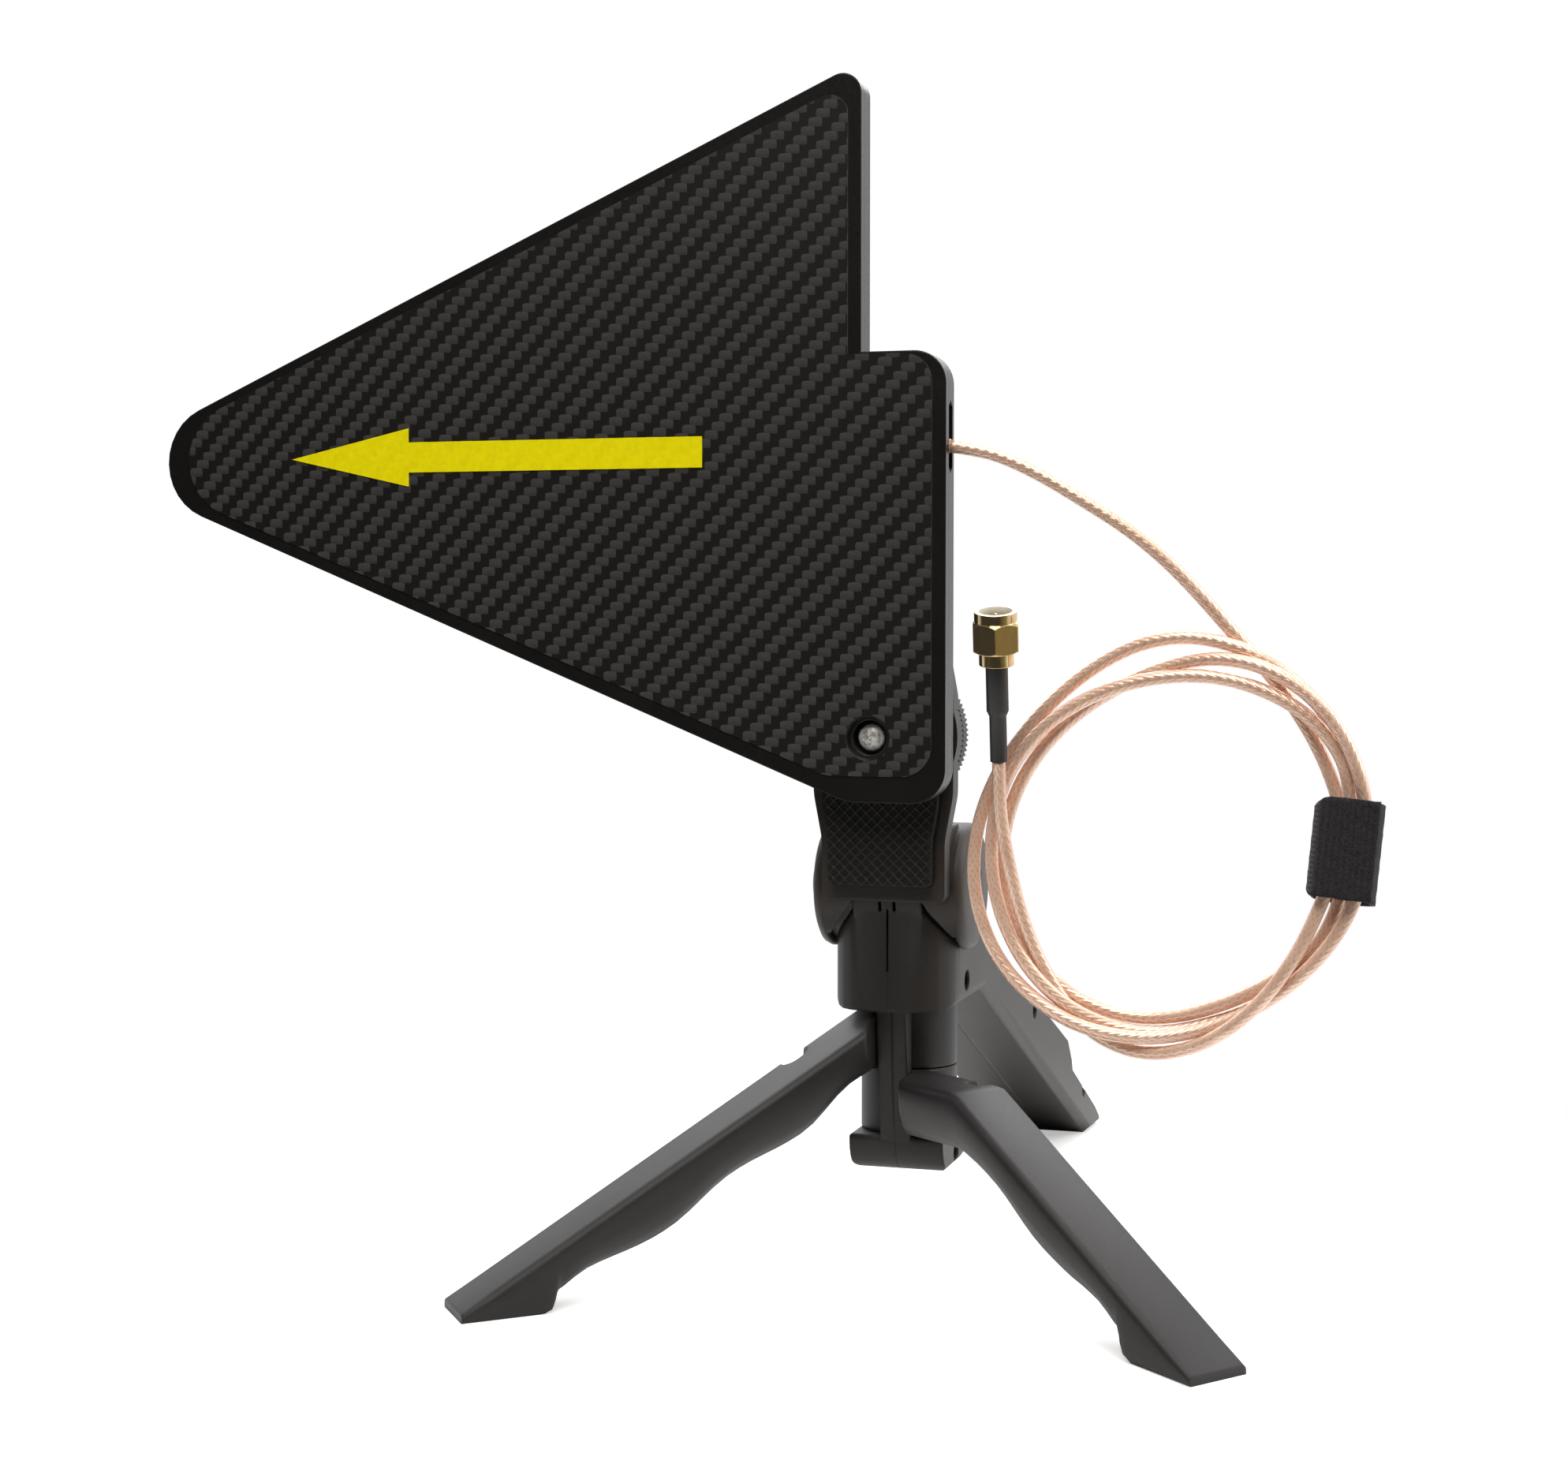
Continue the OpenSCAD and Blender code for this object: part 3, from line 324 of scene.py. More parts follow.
def hatched():
    """Rubber, with a painted highlight along the crossed ridges of its front."""
    m, tree, shader, where = start("pad_rubber")
    x, _, z = split(tree, where)
    lines = []
    for sign in ("ADD", "SUBTRACT"):
        slant = calc(tree, "DIVIDE", calc(tree, sign, x, z), RIDGE_GAP)
        lines.append(calc(tree, "PINGPONG", slant, 0.5))
    # Painted highlight along the ridges' crowns, on front faces only
    crown_highlight = spread(tree, calc(tree, "MINIMUM", *lines), 0.02, 0.13, 1.0, 0.0)
    front = calc(tree, "GREATER_THAN", facing_y(tree), 0.7)
    crown_highlight = calc(tree, "MULTIPLY", crown_highlight, front)
    fine = noise(tree, where, 5000, 2)
    height = calc(tree, "MULTIPLY_ADD", fine, 0.06, crown_highlight)
    put(tree, shader,
        Base_Color=blend_colour(tree, crown_highlight, *PAD_AND_RIDGE_HIGHLIGHT_TONES),
        Roughness=spread(tree, fine, 0.3, 0.7, 0.4, 0.52),
        Normal=bumped(tree, height, 0.3, 0.0001, 0.0003), Specular_IOR_Level=0.4)
    return m


def metal(name, tones, rough, streak, edge):
    m, tree, shader, where = start(name)
    lines = noise(tree, scaled(tree, where, streak), 1.0, 3)
    stain = noise(tree, where, 400, 3)
    put(tree, shader,
        Base_Color=blend_colour(tree, spread(tree, stain, 0.35, 0.7, 0, 1), *tones),
        Metallic=1.0,
        Roughness=spread(tree, lines, 0.3, 0.7, rough * 0.7, rough * 1.3),
        Normal=bumped(tree, lines, 0.12, 0.00005, edge))
    return m


def plug_nut():
    """Gold outside, with a thread inside in painted shade, dark deep in the bore and painted light
    near its mouth.
    """
    m, tree, shader, where = start("gold_nut")
    way = (math.cos(PLUG_LEAN) * math.sin(PLUG_SIDE), -math.sin(PLUG_LEAN),
           math.cos(PLUG_LEAN) * math.cos(PLUG_SIDE))
    out, along = from_axis(tree, where, tuple(mm(*PLUG_FOOT)), way)
    inside = calc(tree, "LESS_THAN", out, NUT_BORE_R)
    # Painted shade along the bore: dark deep inside, pale near the mouth
    depth = spread(tree, along, NUT_SHADE_DEEP, NUT_SHADE_MOUTH, 0, 1)
    thread = blend_colour(tree, depth, *BORE_SHADE_TONES)
    lines = noise(tree, scaled(tree, where, GOLD_STREAK), 1.0, 3)
    tone = blend_colour(tree, spread(tree, lines, 0.35, 0.7, 0, 1), *GOLD_TONES)
    put(tree, shader,
        Base_Color=blend_colour(tree, inside, tone, thread),
        Metallic=spread(tree, inside, 0, 1, 1.0, 0.1),
        Roughness=spread(tree, lines, 0.3, 0.7, 0.1, 0.18),
        Normal=bumped(tree, lines, 0.12, 0.00005, 0.0002))
    return m


def screw_end():
    """Bright in the middle of the rounded end, with a painted highlight ring near its edge and
    painted shade on the thread round it.
    """
    m, tree, shader, where = start("screw_steel")
    out, _ = from_axis(tree, where, tuple(mm(0, 0, SCREW_Z)), (0.0, 1.0, 0.0))
    stain = noise(tree, where, 1300, 3)
    face = blend_colour(tree, spread(tree, stain, 0.42, 0.62, 0, 1), *SCREW_TONES)
    # Painted highlight: a thin bright ring near the edge of the rounded end
    off_highlight = calc(tree, "ABSOLUTE", calc(tree, "SUBTRACT", out, SCREW_HIGHLIGHT_R))
    face = blend_colour(tree, spread(tree, off_highlight, 0.0001, 0.0003, 1, 0), face, SCREW_RIM_HIGHLIGHT)
    # Painted shade on the thread round the end
    thread = spread(tree, out, SCREW_FACE_R, SCREW_THREAD_R, 0, 1)
    put(tree, shader,
        Base_Color=blend_colour(tree, thread, face, SCREW_THREAD_SHADE),
        Metallic=0.25,
        Roughness=spread(tree, stain, 0.3, 0.7, 0.25, 0.4),
        Normal=bumped(tree, stain, 0.3, 0.0002, 0.0003))
    return m


def coax_jacket(name, mapped):
    """Braid under a clear jacket: woven where the piece is mapped, and otherwise a mottle."""
    m, tree, shader, where = start(name)
    if mapped:
        turn, run, _ = split(tree, add(tree, "ShaderNodeUVMap", uv_map="along").outputs[0])
        turn = calc(tree, "MULTIPLY", turn, BRAID_STRANDS)
        ways = calc(tree, "ADD", run, turn), calc(tree, "SUBTRACT", run, turn)
        strands = [calc(tree, "FLOOR", p) for p in ways]
        apart = calc(tree, "SUBTRACT", *strands)
        apart = calc(tree, "FLOORED_MODULO", apart, BRAID_REPEAT)
        over = calc(tree, "LESS_THAN", apart, BRAID_REPEAT / 2)
        under = calc(tree, "SUBTRACT", 1.0, over)
        ridges = []
        for p in ways:
            angle = calc(tree, "MULTIPLY", calc(tree, "FRACT", p), math.pi)
            ridges.append(calc(tree, "SINE", angle))
        weave = calc(tree, "ADD", calc(tree, "MULTIPLY", over, ridges[0]),
                     calc(tree, "MULTIPLY", under, ridges[1]))
        hole = spread(tree, calc(tree, "MAXIMUM", *ridges), 0.2, 0.45, 0.3, 1.0)
    else:
        weave = noise(tree, where, 900, 2)
        hole = spread(tree, weave, 0.2, 0.3, 0.5, 1.0)
    blot = spread(tree, noise(tree, where, 260, 3), 0.3, 0.7, 0.74, 1.0)
    tone = calc(tree, "MULTIPLY", spread(tree, weave, 0.0, 0.35, 0.72, 1.0), blot)
    put(tree, shader,
        Base_Color=blend_colour(tree, calc(tree, "MULTIPLY", tone, hole), *JACKET_TONES),
        Metallic=0.35,
        Roughness=spread(tree, weave, 0, 1, 0.42, 0.28),
        Normal=bumped(tree, weave, 0.4, 0.00016),
        Coat_Weight=1.0, Coat_Roughness=0.1, Coat_IOR=1.5, Coat_Tint=JACKET_COAT)
    return m


def hook_tape():
    """Ribbed pile with stitches along one hem."""
    m, tree, shader, where = start("strap_black")
    x, _, z = split(tree, where)
    x = calc(tree, "MULTIPLY_ADD", z, TAPE_LEAN, x)
    rib = calc(tree, "PINGPONG", calc(tree, "DIVIDE", x, TAPE_RIB), 0.5)
    tick = calc(tree, "PINGPONG", calc(tree, "DIVIDE", z, TAPE_TICK), 0.5)
    stitch = calc(tree, "MULTIPLY", spread(tree, x, HEM_LOW, HEM_HIGH, 1.0, 0.0), tick)
    fuzz = noise(tree, where, 2600, 4, 0.7)
    height = calc(tree, "ADD", fuzz, calc(tree, "MULTIPLY", rib, 0.8))
    shown = calc(tree, "MULTIPLY_ADD", rib, 0.32, spread(tree, fuzz, 0.35, 0.7, 0, 0.85))
    pile = blend_colour(tree, shown, *PILE_TONES)
    put(tree, shader,
        Base_Color=blend_colour(tree, stitch, pile, HEM_TONE),
        Roughness=spread(tree, fuzz, 0.3, 0.7, 0.75, 0.95),
        Normal=bumped(tree, height, 0.9, 0.0004),
        Specular_IOR_Level=0.2, Sheen_Weight=0.08, Sheen_Roughness=0.5)
    return m


SHELL = housing("shell_black", SHELL_TONES)
SKIN = housing("shell_skin", SHELL_TONES, edge=0.0)
LEG = housing("leg_black", LEG_TONES)
# Head: the shell's plastic with painted light
HEAD_PAINTED_LIGHT = housing("head_black_painted_light", HEAD_PAINTED_LIGHT_TONES)
HEAD_SKIN_PAINTED_LIGHT = housing("head_skin_painted_light", HEAD_PAINTED_LIGHT_TONES, edge=0.0)
PLATE = moulded("plate_black", PLATE_TONES, 0.34, 3000, 0.00003, 0.0004, 0.4)
BOLT = moulded("bolt_black", BOLT_TONES, 0.38, 6000, 0.00004, 0.0003)
SHRINK = moulded("shrink_black", SHRINK_TONES, 0.45, 2500, 0.00012, 0.0003)
BOARD = moulded("board_green", BOARD_TONES, 0.4, 2500, 0.00004, 0.0002)
PTFE = moulded("ptfe", PTFE_TONES, 0.4, 2500, 0.00003, 0.0002)
CARBON = carbon_twill()
YELLOW = printed()
PAD = hatched()
STEEL = metal("steel", STEEL_TONES, 0.22, (900, 900, 900), 0.0003)
SCREW = screw_end()
COPPER = metal("copper", COPPER_TONES, 0.3, (600, 600, 600), 0.0001)
GOLD = metal("gold", GOLD_TONES, 0.14, GOLD_STREAK, 0.0002)
NUT = plug_nut()
JACKET = coax_jacket("coax_jacket", True)
JACKET_PLAIN = coax_jacket("coax_jacket_inside", False)
TAPE = hook_tape()

LOOKS = {
    "front_plate": PLATE, "core_frame": PLATE, "rear_plate": PLATE, "carbon_film": CARBON,
    "arrow_decal": YELLOW, "antenna_board": BOARD, "radiator_front": COPPER,
    "radiator_rear": COPPER, "thread_insert": BOLT, "feed_coax": JACKET_PLAIN,
    "platform": HEAD_PAINTED_LIGHT, "platform_pad": PAD, "camera_screw": SCREW, "screw_wheel": HEAD_PAINTED_LIGHT,
    "tilt_bolt": BOLT, "tilt_nut": STEEL, "body_left": SHELL, "body_right": SHELL,
    "body_screws": BOLT, "leg_post": SHELL, "leg_left": LEG, "leg_right": LEG,
    "heat_shrink": SHRINK, "sma_body": GOLD, "sma_insulator": PTFE, "sma_pin": GOLD,
    "sma_nut": NUT,
}


MERGE_WITHIN, SHARP_ANGLE = 2e-6, math.radians(38)


def soft_shading():
    """Joins a mesh's facets and shades it smooth, apart from its sharp edges."""
    tree = bpy.data.node_groups.new("soft_shading", "GeometryNodeTree")
    for way in ("INPUT", "OUTPUT"):
        tree.interface.new_socket("Geometry", in_out=way, socket_type="NodeSocketGeometry")
    mesh = add(tree, "NodeGroupInput").outputs[0]

    def then(kind, inputs=None, **settings):
        return add(tree, kind, {"Geometry": mesh, **(inputs or {})}, **settings).outputs[0]

    mesh = then("GeometryNodeRemoveAttribute", {"Name": "custom_normal"})
    mesh = then("GeometryNodeMergeByDistance", {"Distance": MERGE_WITHIN})
    mesh = then("GeometryNodeSetShadeSmooth", domain="FACE")
    angle = add(tree, "GeometryNodeInputMeshEdgeAngle").outputs["Unsigned Angle"]
    soft = add(tree, "FunctionNodeCompare", {0: angle, 1: SHARP_ANGLE},
               operation="LESS_THAN").outputs[0]
    mesh = then("GeometryNodeSetShadeSmooth", {"Shade Smooth": soft}, domain="EDGE")
    add(tree, "NodeGroupOutput", {0: mesh})
    return tree


shading = soft_shading()
for name, material in LOOKS.items():
    for s in nodes[name].material_slots:
        s.material = material
    nodes[name].modifiers.new("shading", "NODES").node_group = shading


# Coaxial cable: one line from the panel through the tied coil to the plug

CABLE = [
    (14.6, -28.15, 158.0), (22.9, -28.05, 156.3), (31.1, -27.75, 152.5), (38.9, -27.45, 147.8),
    (46.5, -27.05, 142.9), (53.5, -26.45, 137.2), (59.8, -25.65, 130.7), (65.7, -24.65, 123.9),
    (71.7, -24.15, 117.1), (77.1, -24.45, 109.9), (81.6, -24.65, 102.0), (84.7, -25.05, 93.5),
    (85.8, -25.35, 84.5), (84.6, -25.75, 75.6), (80.5, -25.65, 67.6), (73.5, -25.55, 61.8),
    (65.6, -25.25, 57.6), (57.0, -24.75, 54.7), (48.0, -24.35, 53.9), (39.3, -23.75, 56.2),
    (31.8, -23.55, 61.2), (26.7, -24.05, 68.6), (24.2, -24.55, 77.3), (24.1, -24.95, 86.3),
    (26.6, -25.25, 95.0), (31.3, -25.45, 102.7), (37.7, -25.65, 109.1), (45.3, -26.05, 114.0),
    (53.6, -26.65, 117.6), (62.3, -27.75, 119.4), (71.2, -28.75, 118.0), (79.0, -29.05, 113.5),
    (85.0, -29.35, 106.8), (88.6, -29.35, 98.5), (89.9, -28.75, 89.6), (88.9, -28.25, 80.6),
    (85.6, -27.95, 72.2), (80.3, -27.75, 64.9), (73.5, -27.05, 58.9), (65.7, -27.15, 54.4),
    (57.1, -27.95, 51.6), (48.2, -28.95, 50.9), (39.3, -29.65, 52.7), (31.3, -29.25, 56.9),
    (24.8, -28.55, 63.1), (20.6, -27.85, 71.0), (18.9, -27.35, 79.9), (19.8, -26.85, 88.9),
    (22.9, -26.45, 97.4), (27.8, -26.35, 105.0), (33.8, -26.25, 111.8), (40.8, -26.35, 117.5),
    (48.8, -26.55, 121.7), (57.7, -26.65, 123.2), (66.6, -26.65, 121.5), (74.5, -26.25, 117.2),
    (81.1, -25.75, 111.0), (85.8, -25.25, 103.3), (88.4, -24.95, 94.6), (88.9, -24.55, 85.6),
    (87.0, -23.95, 76.8), (83.0, -23.45, 68.7), (77.1, -23.65, 61.8), (69.7, -24.15, 56.6),
    (61.4, -24.85, 53.2), (52.6, -25.85, 51.5), (43.7, -26.85, 52.6), (35.7, -28.15, 56.7),
    (29.3, -28.45, 63.0), (24.9, -28.25, 70.9), (22.7, -28.25, 79.7), (22.8, -28.25, 88.7),
    (25.2, -28.35, 97.4), (30.3, -28.45, 104.9), (37.3, -28.55, 110.5), (45.6, -28.75, 114.2),
    (54.5, -28.75, 116.1), (63.5, -28.35, 116.0), (72.2, -28.05, 113.5), (79.9, -27.85, 108.8),
    (85.4, -27.75, 101.7), (86.8, -27.95, 92.8), (84.8, -28.35, 84.0), (81.7, -28.75, 75.5),
    (77.9, -29.15, 67.3), (72.8, -29.55, 59.8), (66.3, -29.55, 53.5), (58.5, -28.55, 49.2),
    (49.7, -27.05, 47.9), (41.3, -25.85, 50.8), (35.0, -25.75, 57.2), (30.7, -26.85, 65.1),
    (27.8, -28.25, 73.5), (26.0, -29.65, 82.3), (25.2, -30.25, 87.0), (24.75, -31.2, 92.0),
    (24.78, -32.25, 97.2), PLUG_FOOT,
]
COAX_D = 0.0025
COAX_SIDES = 16
SMOOTH_ROUNDS = 12


def smooth_line(points, steps):
    """A curve along the points, with some places between each two of them, evened out."""
    ends = [points[0] * 2 - points[1]] + points + [points[-1] * 2 - points[-2]]
    line = []
    for a, b, c, d in zip(ends, ends[1:], ends[2:], ends[3:]):
        for k in range(steps):
            t = k / steps
            line.append(b + (c - a) * (t / 2) + (a * 2 - b * 5 + c * 4 - d) * (t * t / 2)
                        + (b * 3 - a - c * 3 + d) * (t ** 3 / 2))
    line.append(points[-1])
    for _ in range(SMOOTH_ROUNDS):
        inner = [(a + b * 2 + c) / 4 for a, b, c in zip(line, line[1:], line[2:])]
        line = line[:1] + inner + line[-1:]
    return line


def tube(name, line, radius, sides, unit, material, body):
    """A round tube along a line, with a map of the way round it and the way along it."""
    across = Vector((0, 1, 0))
    verts, runs, run = [], [], 0.0
    for i, p in enumerate(line):
        ahead = (line[min(i + 1, len(line) - 1)] - line[max(i - 1, 0)]).normalized()
        across = (across - ahead * across.dot(ahead)).normalized()
        up = ahead.cross(across)
        run += (p - line[i - 1]).length if i else 0.0
        runs.append(run)
        for k in range(sides):
            a = 2 * math.pi * k / sides
            verts.append(p + (across * math.cos(a) + up * math.sin(a)) * radius)
    obj = piece(name, verts, bar_faces(0, len(line), sides), material, body)
    layer = obj.data.uv_layers.new(name="along")
    for p in obj.data.polygons[:-2]:
        i, k = divmod(p.index, sides)
        for loop, (di, dk) in zip(p.loop_indices, ((0, 0), (0, 1), (1, 1), (1, 0))):
            layer.data[loop].uv = ((k + dk) / sides, runs[i + di] / unit)
    return obj


route = smooth_line([mm(*p) for p in CABLE], 10)
cable = tube("coax_cable", route, COAX_D / 2, COAX_SIDES, BRAID_UNIT, JACKET, "head")
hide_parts("coax_lead", "coax_coil", "coax_tail")


# Hook-and-loop strap round the coil's outer side, in millimetres

STRAP_PATH = [
    (91.6, -31.35), (90.3, -31.45), (87.6, -31.75), (84.3, -31.85), (82.2, -31.45),
    (80.9, -30.35), (80.4, -28.65), (80.3, -26.65), (80.6, -24.65), (81.4, -23.05),
    (83.0, -22.15), (85.7, -21.75), (88.5, -21.75), (90.3, -22.55), (91.4, -24.25),
    (91.7, -26.45), (91.4, -28.65), (90.5, -30.15), (88.7, -30.70), (86.6, -30.80),
    (85.3, -30.75),
]
STRAP_X, STRAP_Y, STRAP_Z = 86.2, -26.8, 85.6
STRAP_LOW, STRAP_HIGH, STRAP_FOLD_X = 76.5, 94.2, 80.1
STRAP_LEAN, STRAP_TIP = math.radians(5.4), 0.2
STRAP_ROWS, STRAP_T = 24, 0.0008


def strap_band():
    """A band with two loose ends that overlap, pinched at its inner fold and a little wavy."""
    path = smooth_line([Vector((x, y, 0)) for x, y in STRAP_PATH], 6)
    along, over = math.cos(STRAP_LEAN), math.sin(STRAP_LEAN)
    verts, faces = [], []
    for p in path:
        low = STRAP_LOW + 1.6 * math.exp(-((p.x - STRAP_FOLD_X) / 0.7) ** 2)
        high = STRAP_HIGH - 1.7 * math.exp(-((p.x - STRAP_FOLD_X) / 1.4) ** 2)
        for j in range(STRAP_ROWS + 1):
            z = low + (high - low) * j / STRAP_ROWS
            wave = 0.10 * math.sin(z * 2.1 + p.x) + 0.06 * math.sin(z * 5.3 - p.y)
            right, up = p.x - STRAP_X + 0.2 * wave, z - STRAP_Z
            verts.append(mm(
                STRAP_X + right * along + up * over, p.y + wave,
                STRAP_Z + up * along - right * over - STRAP_TIP * (p.y - STRAP_Y)))
    for i in range(len(path) - 1):
        for j in range(STRAP_ROWS):
            a = i * (STRAP_ROWS + 1) + j
            faces.append((a, a + 1, a + STRAP_ROWS + 2, a + STRAP_ROWS + 1))
    obj = piece("strap_band", verts, faces, TAPE, "head")
    thick = obj.modifiers.new("thick", "SOLIDIFY")
    thick.thickness = STRAP_T
    thick.offset = 0.0
    return obj


strap = strap_band()
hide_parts("coil_strap")


# Crossed ridges of the rubber pad, where the panel leaves it open

RIDGE_HALF_W, RIDGE_RISE, RIDGE_SUNK = 0.00026, 0.00016, 0.00003
RIDGE_STEP, RIDGE_MARGIN, RIDGE_LEAST_STEPS = 0.0002, 0.0006, 4
PROBE_FROM, PROBE_REACH, COVER_FROM = 0.001, 0.0011, 0.00005


def ridge(run, face):
    """Corners of a ridge on the pad's face along a run of (x, z) places, three at each end."""
    (x0, z0), (x1, z1) = run[0], run[-1]
    along = Vector((x1 - x0, 0, z1 - z0)).normalized()
    side = Vector((along.z, 0, -along.x)) * RIDGE_HALF_W
    a = Vector((x0, face + RIDGE_SUNK, z0))
    b = Vector((x1, face + RIDGE_SUNK, z1))
    top = Vector((0, -RIDGE_RISE, 0))
    slope = along * RIDGE_HALF_W
    return [a - side, a + side, a + slope + top, b - side, b + side, b - slope + top]


def pad_ridges():
    pad, cover = surface("platform_pad"), surface("rear_plate")
    corners = [v.co for v in nodes["platform_pad"].data.vertices]
    face = min(c.y for c in corners)
    low, high = min(c.z for c in corners), max(c.z for c in corners)
    left, right = min(c.x for c in corners), max(c.x for c in corners)
    around = [(RIDGE_MARGIN, 0), (-RIDGE_MARGIN, 0), (0, RIDGE_MARGIN), (0, -RIDGE_MARGIN)]

    def on_pad(x, z):
        hit = pad.ray_cast(Vector((x, face - PROBE_FROM, z)), Vector((0, 1, 0)))[3]
        return hit is not None and hit < PROBE_REACH

    def open_at(x, z):
        if not all(on_pad(x + dx, z + dz) for dx, dz in around):
            return False
        return cover.ray_cast(Vector((x, face - COVER_FROM, z)), Vector((0, -1, 0)))[0] is None

    verts, faces = [], []
    for sign in (1, -1):
        ends = [x + sign * z for x in (left, right) for z in (low, high)]
        first, last = math.ceil(min(ends) / RIDGE_GAP), math.floor(max(ends) / RIDGE_GAP)
        for k in range(first, last + 1):
            run = []
            for i in range(int((high - low) / RIDGE_STEP) + 2):
                z = low + i * RIDGE_STEP
                x = k * RIDGE_GAP - sign * z
                if open_at(x, z):
                    run.append((x, z))
                    continue
                if len(run) > RIDGE_LEAST_STEPS:
                    n = len(verts)
                    verts += ridge(run, face)
                    faces += [(n, n + 2, n + 1), (n + 3, n + 4, n + 5), (n, n + 3, n + 5, n + 2),
                              (n + 1, n + 2, n + 5, n + 4), (n, n + 1, n + 4, n + 3)]
                run = []
    return piece("pad_ridges", verts, faces, PAD, "head", smooth=False)


pad_ridges()


# Thin skin over the rear shell screw, whose bore comes out at the top of the foot

FOOT_HIGH, FOOT_LOW = Vector((0, 113.5, 20.2)), Vector((0, 142.0, 6.9))
SKIN_MIDDLE = Vector((0, 126.14, 14.3))
SKIN_X, SKIN_RUN, SKIN_LIFT = (4.4, 10.2), 2.3, (-0.35, 0.015)


def foot_skin():
    slope = (FOOT_LOW - FOOT_HIGH).normalized()
    up = Vector((0, -slope.z, slope.y))
    near, far = SKIN_X
    verts = []
    for lift in SKIN_LIFT:
        for x, run in ((near, -SKIN_RUN), (far, -SKIN_RUN), (far, SKIN_RUN), (near, SKIN_RUN)):
            verts.append(mm(*(SKIN_MIDDLE + Vector((x, 0, 0)) + slope * run + up * lift)))
    return piece("foot_skin", verts, bar_faces(0, 2, 4), SKIN, "base", smooth=False)


foot_skin()


# Forms that the head's solid lacks, in millimetres: sleeves that make the ears as wide as their
# rims, and bulges that make the platform as round as its wheel. A sleeve stays above the body's
# shoulder: it ends SLEEVE_DROP below the tilt axis at the lug, and lower by the slope further out.

EAR_R, SLEEVE_IN_R, SLEEVE_STEPS = 12.2, 10.45, 56
SLEEVE_X = [7.05, 8.3, 9.5, 10.75, 12.0, 12.76]
SLEEVE_DROP, SLEEVE_SLOPE, SLEEVE_SWEEP = 1.9, 1.34, math.radians(270)
BODY_HALF_W, LUG_HALF_W = 12.0, 6.7
PLATFORM_BACK, PLATFORM_MIDDLE, PLATFORM_FRONT = -18.6, -20.7, -22.8
BULGE_R, BULGE_SUNK, BULGE_LEAST = 14.8, 0.05, 0.01
BULGE_STEPS, STEPS_PER_DEGREE, OUTSIDE_X = 42, 1.5, 30


def ear_sleeves():
    lows = []
    for x in SLEEVE_X:
        drop = SLEEVE_DROP + SLEEVE_SLOPE * (min(x, BODY_HALF_W) - LUG_HALF_W)
        lows.append(math.acos(drop / EAR_R))
    places = list(zip(SLEEVE_X, lows))
    ring = [(EAR_R, *p) for p in places] + [(SLEEVE_IN_R, *p) for p in places[::-1]]
    verts, faces = [], []
    for way in (1, -1):
        faces += bar_faces(len(verts), SLEEVE_STEPS + 1, len(ring), way < 0)
        for j in range(SLEEVE_STEPS + 1):
            for r, x, low in ring:
                a = low + (SLEEVE_SWEEP - 2 * low) * j / SLEEVE_STEPS
                verts.append(mm(way * x, TILT_Y - r * math.sin(a), TILT_Z - r * math.cos(a)))
    return piece("ear_sleeves", verts, faces, HEAD_SKIN_PAINTED_LIGHT, "head")


def platform_bulges():
    platform = surface("platform")
    verts, faces = [], []
    for way in (1, -1):
        first = len(verts)
        for k in range(-BULGE_STEPS, BULGE_STEPS + 1):
            a = math.radians(k / STEPS_PER_DEGREE)
            x, z = BULGE_R * math.cos(a), SCREW_Z + BULGE_R * math.sin(a)
            outside = mm(way * OUTSIDE_X, PLATFORM_MIDDLE, z)
            hit = platform.ray_cast(outside, Vector((-way, 0, 0)))[0]
            side = abs((hit * 1000 - SHIFT).x)
            if x > side + BULGE_LEAST:
                verts += [mm(way * (side - BULGE_SUNK), PLATFORM_BACK, z),
                          mm(way * x, PLATFORM_BACK, z),
                          mm(way * x, PLATFORM_FRONT, z),
                          mm(way * (side - BULGE_SUNK), PLATFORM_FRONT, z)]
        faces += bar_faces(first, (len(verts) - first) // 4, 4, way > 0)
    return piece("platform_bulges", verts, faces, HEAD_SKIN_PAINTED_LIGHT, "head")


for obj in (ear_sleeves(), platform_bulges()):
    obj.modifiers.new("shading", "NODES").node_group = shading


# Floor: a white disc that keeps the shadow and fades into the backdrop at its edge

WHITE = rgb(1, 1, 1)
FLOOR_R, FLOOR_SIDES, FADE_FROM, FADE_TO = 0.22, 96, 0.16, 0.21


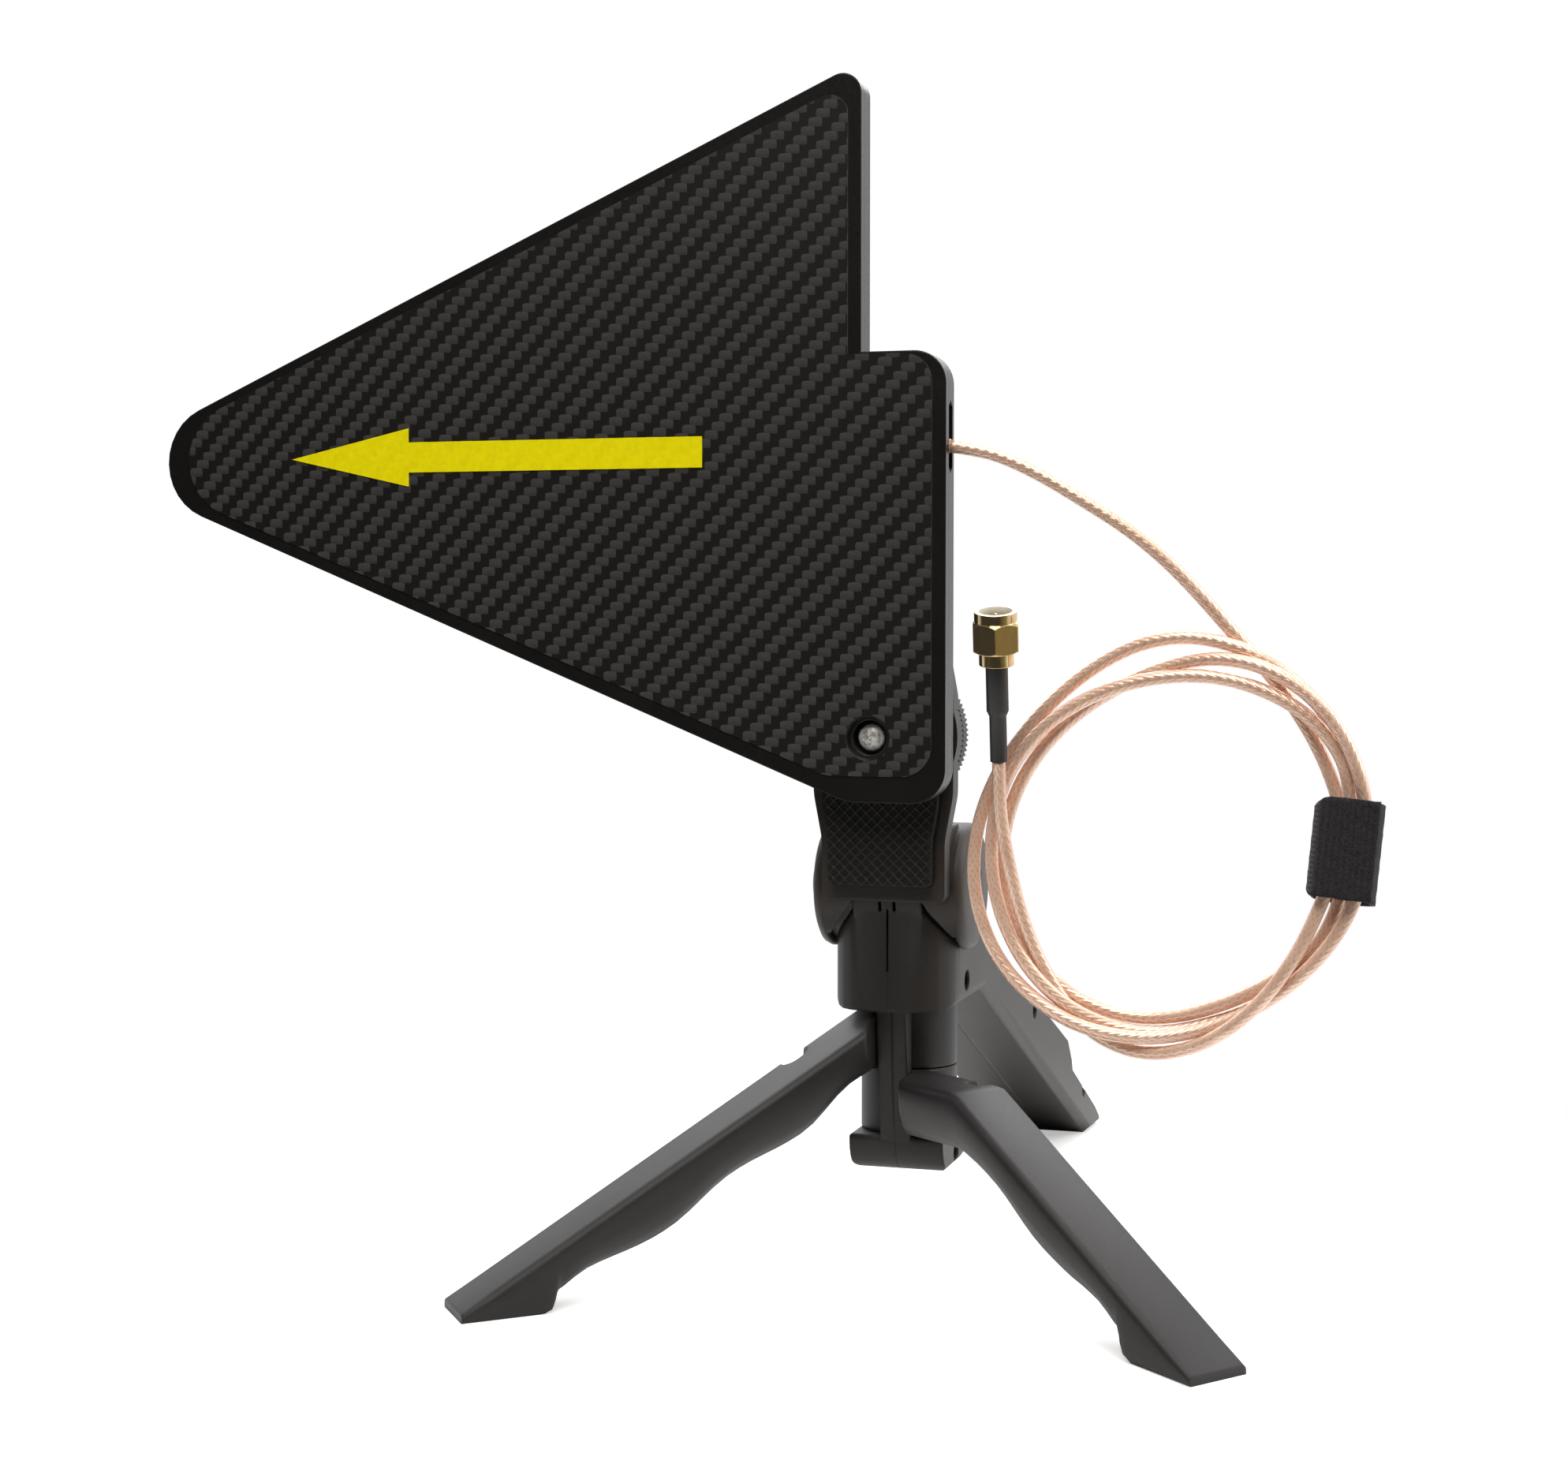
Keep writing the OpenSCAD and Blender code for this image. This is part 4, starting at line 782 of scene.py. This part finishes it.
def floor():
    verts = [Vector((0, 0, 0))]
    for k in range(FLOOR_SIDES):
        a = 2 * math.pi * k / FLOOR_SIDES
        verts.append(Vector((math.cos(a), math.sin(a), 0)) * FLOOR_R)
    mesh = bpy.data.meshes.new("floor")
    mesh.from_pydata(verts, [], [(0, 1 + k, 1 + (k + 1) % FLOOR_SIDES) for k in range(FLOOR_SIDES)])
    obj = bpy.data.objects.new("floor", mesh)
    scene.collection.objects.link(obj)
    m = bpy.data.materials.new("floor_white")
    m.use_nodes = True
    tree = m.node_tree
    tree.nodes.clear()
    where = add(tree, "ShaderNodeTexCoord").outputs["Object"]
    reach = add(tree, "ShaderNodeVectorMath", {0: where}, operation="LENGTH").outputs["Value"]
    rays = add(tree, "ShaderNodeLightPath").outputs
    direct = calc(tree, "MAXIMUM", rays["Is Camera Ray"], rays["Is Transmission Ray"])
    seen = calc(tree, "MAXIMUM", direct, rays["Is Glossy Ray"])
    matt = add(tree, "ShaderNodeBsdfDiffuse", {"Color": rgb(0.9, 0.9, 0.9)}).outputs[0]
    glow = add(tree, "ShaderNodeEmission", {"Color": WHITE, "Strength": 0.45}).outputs[0]
    lit = add(tree, "ShaderNodeAddShader", {0: matt, 1: glow}).outputs[0]
    plain = add(tree, "ShaderNodeMixShader", {0: direct, 1: matt, 2: lit}).outputs[0]
    white = add(tree, "ShaderNodeEmission", {"Color": WHITE, "Strength": 1.0}).outputs[0]
    edge = calc(tree, "MULTIPLY", seen, spread(tree, reach, FADE_FROM, FADE_TO, 0, 1))
    out = add(tree, "ShaderNodeMixShader", {0: edge, 1: plain, 2: white}).outputs[0]
    add(tree, "ShaderNodeOutputMaterial", {"Surface": out})
    mesh.materials.append(m)


floor()


# World: white to the camera and to mirrored rays from behind, otherwise dim in front of the part
# and warmer at its right

FRONT_DIM, FRONT_WARM = rgb(0.05, 0.05, 0.05), rgb(0.26, 0.21, 0.11)
BACK_DIM = rgb(0.75, 0.75, 0.75)


def studio():
    world = bpy.data.worlds.new("studio")
    scene.world = world
    world.use_nodes = True
    tree = world.node_tree
    tree.nodes.clear()
    x, y, _ = split(tree, add(tree, "ShaderNodeTexCoord").outputs["Generated"])
    behind = spread(tree, y, -0.25, 0.15, 0.0, 1.0)
    right = spread(tree, x, 0.5, 0.9, 0.0, 1.0)
    front = blend_colour(tree, right, FRONT_DIM, FRONT_WARM)
    rays = add(tree, "ShaderNodeLightPath").outputs
    mirrored = calc(tree, "MAXIMUM", rays["Is Glossy Ray"], rays["Is Transmission Ray"])
    mirrored = calc(tree, "MULTIPLY", behind, mirrored)
    seen = calc(tree, "MAXIMUM", rays["Is Camera Ray"], mirrored)
    dim = add(tree, "ShaderNodeBackground", {
        "Color": blend_colour(tree, behind, front, BACK_DIM), "Strength": 1.0}).outputs[0]
    white = add(tree, "ShaderNodeBackground", {"Color": WHITE, "Strength": 1.0}).outputs[0]
    mixed = add(tree, "ShaderNodeMixShader", {0: seen, 1: dim, 2: white}).outputs[0]
    add(tree, "ShaderNodeOutputWorld", {"Surface": mixed})


studio()


# Lamps

def softbox(name, place, aim, size, power, colour=(1, 1, 1)):
    lamp = bpy.data.lights.new(name, "AREA")
    lamp.shape = "RECTANGLE"
    lamp.size, lamp.size_y = size
    lamp.energy = power
    lamp.color = colour
    obj = bpy.data.objects.new(name, lamp)
    scene.collection.objects.link(obj)
    obj.location = place
    obj.rotation_euler = (Vector(aim) - Vector(place)).to_track_quat("-Z", "Y").to_euler()


softbox("front_high", (0.11, -0.63, 0.87), (0, 0, 0.1), (0.6, 0.5), 7.7, (1.0, 0.945, 0.88))
softbox("right_back", (0.85, 0.15, 0.6), (0, 0, 0.1), (0.6, 0.7), 5.0)
softbox("top", (0.1, -0.1, 1.1), (0, 0, 0.1), (0.9, 0.9), 4.0)
softbox("back_high", (-0.2, 0.75, 0.75), (0, 0, 0.05), (1.2, 0.5), 6.5)
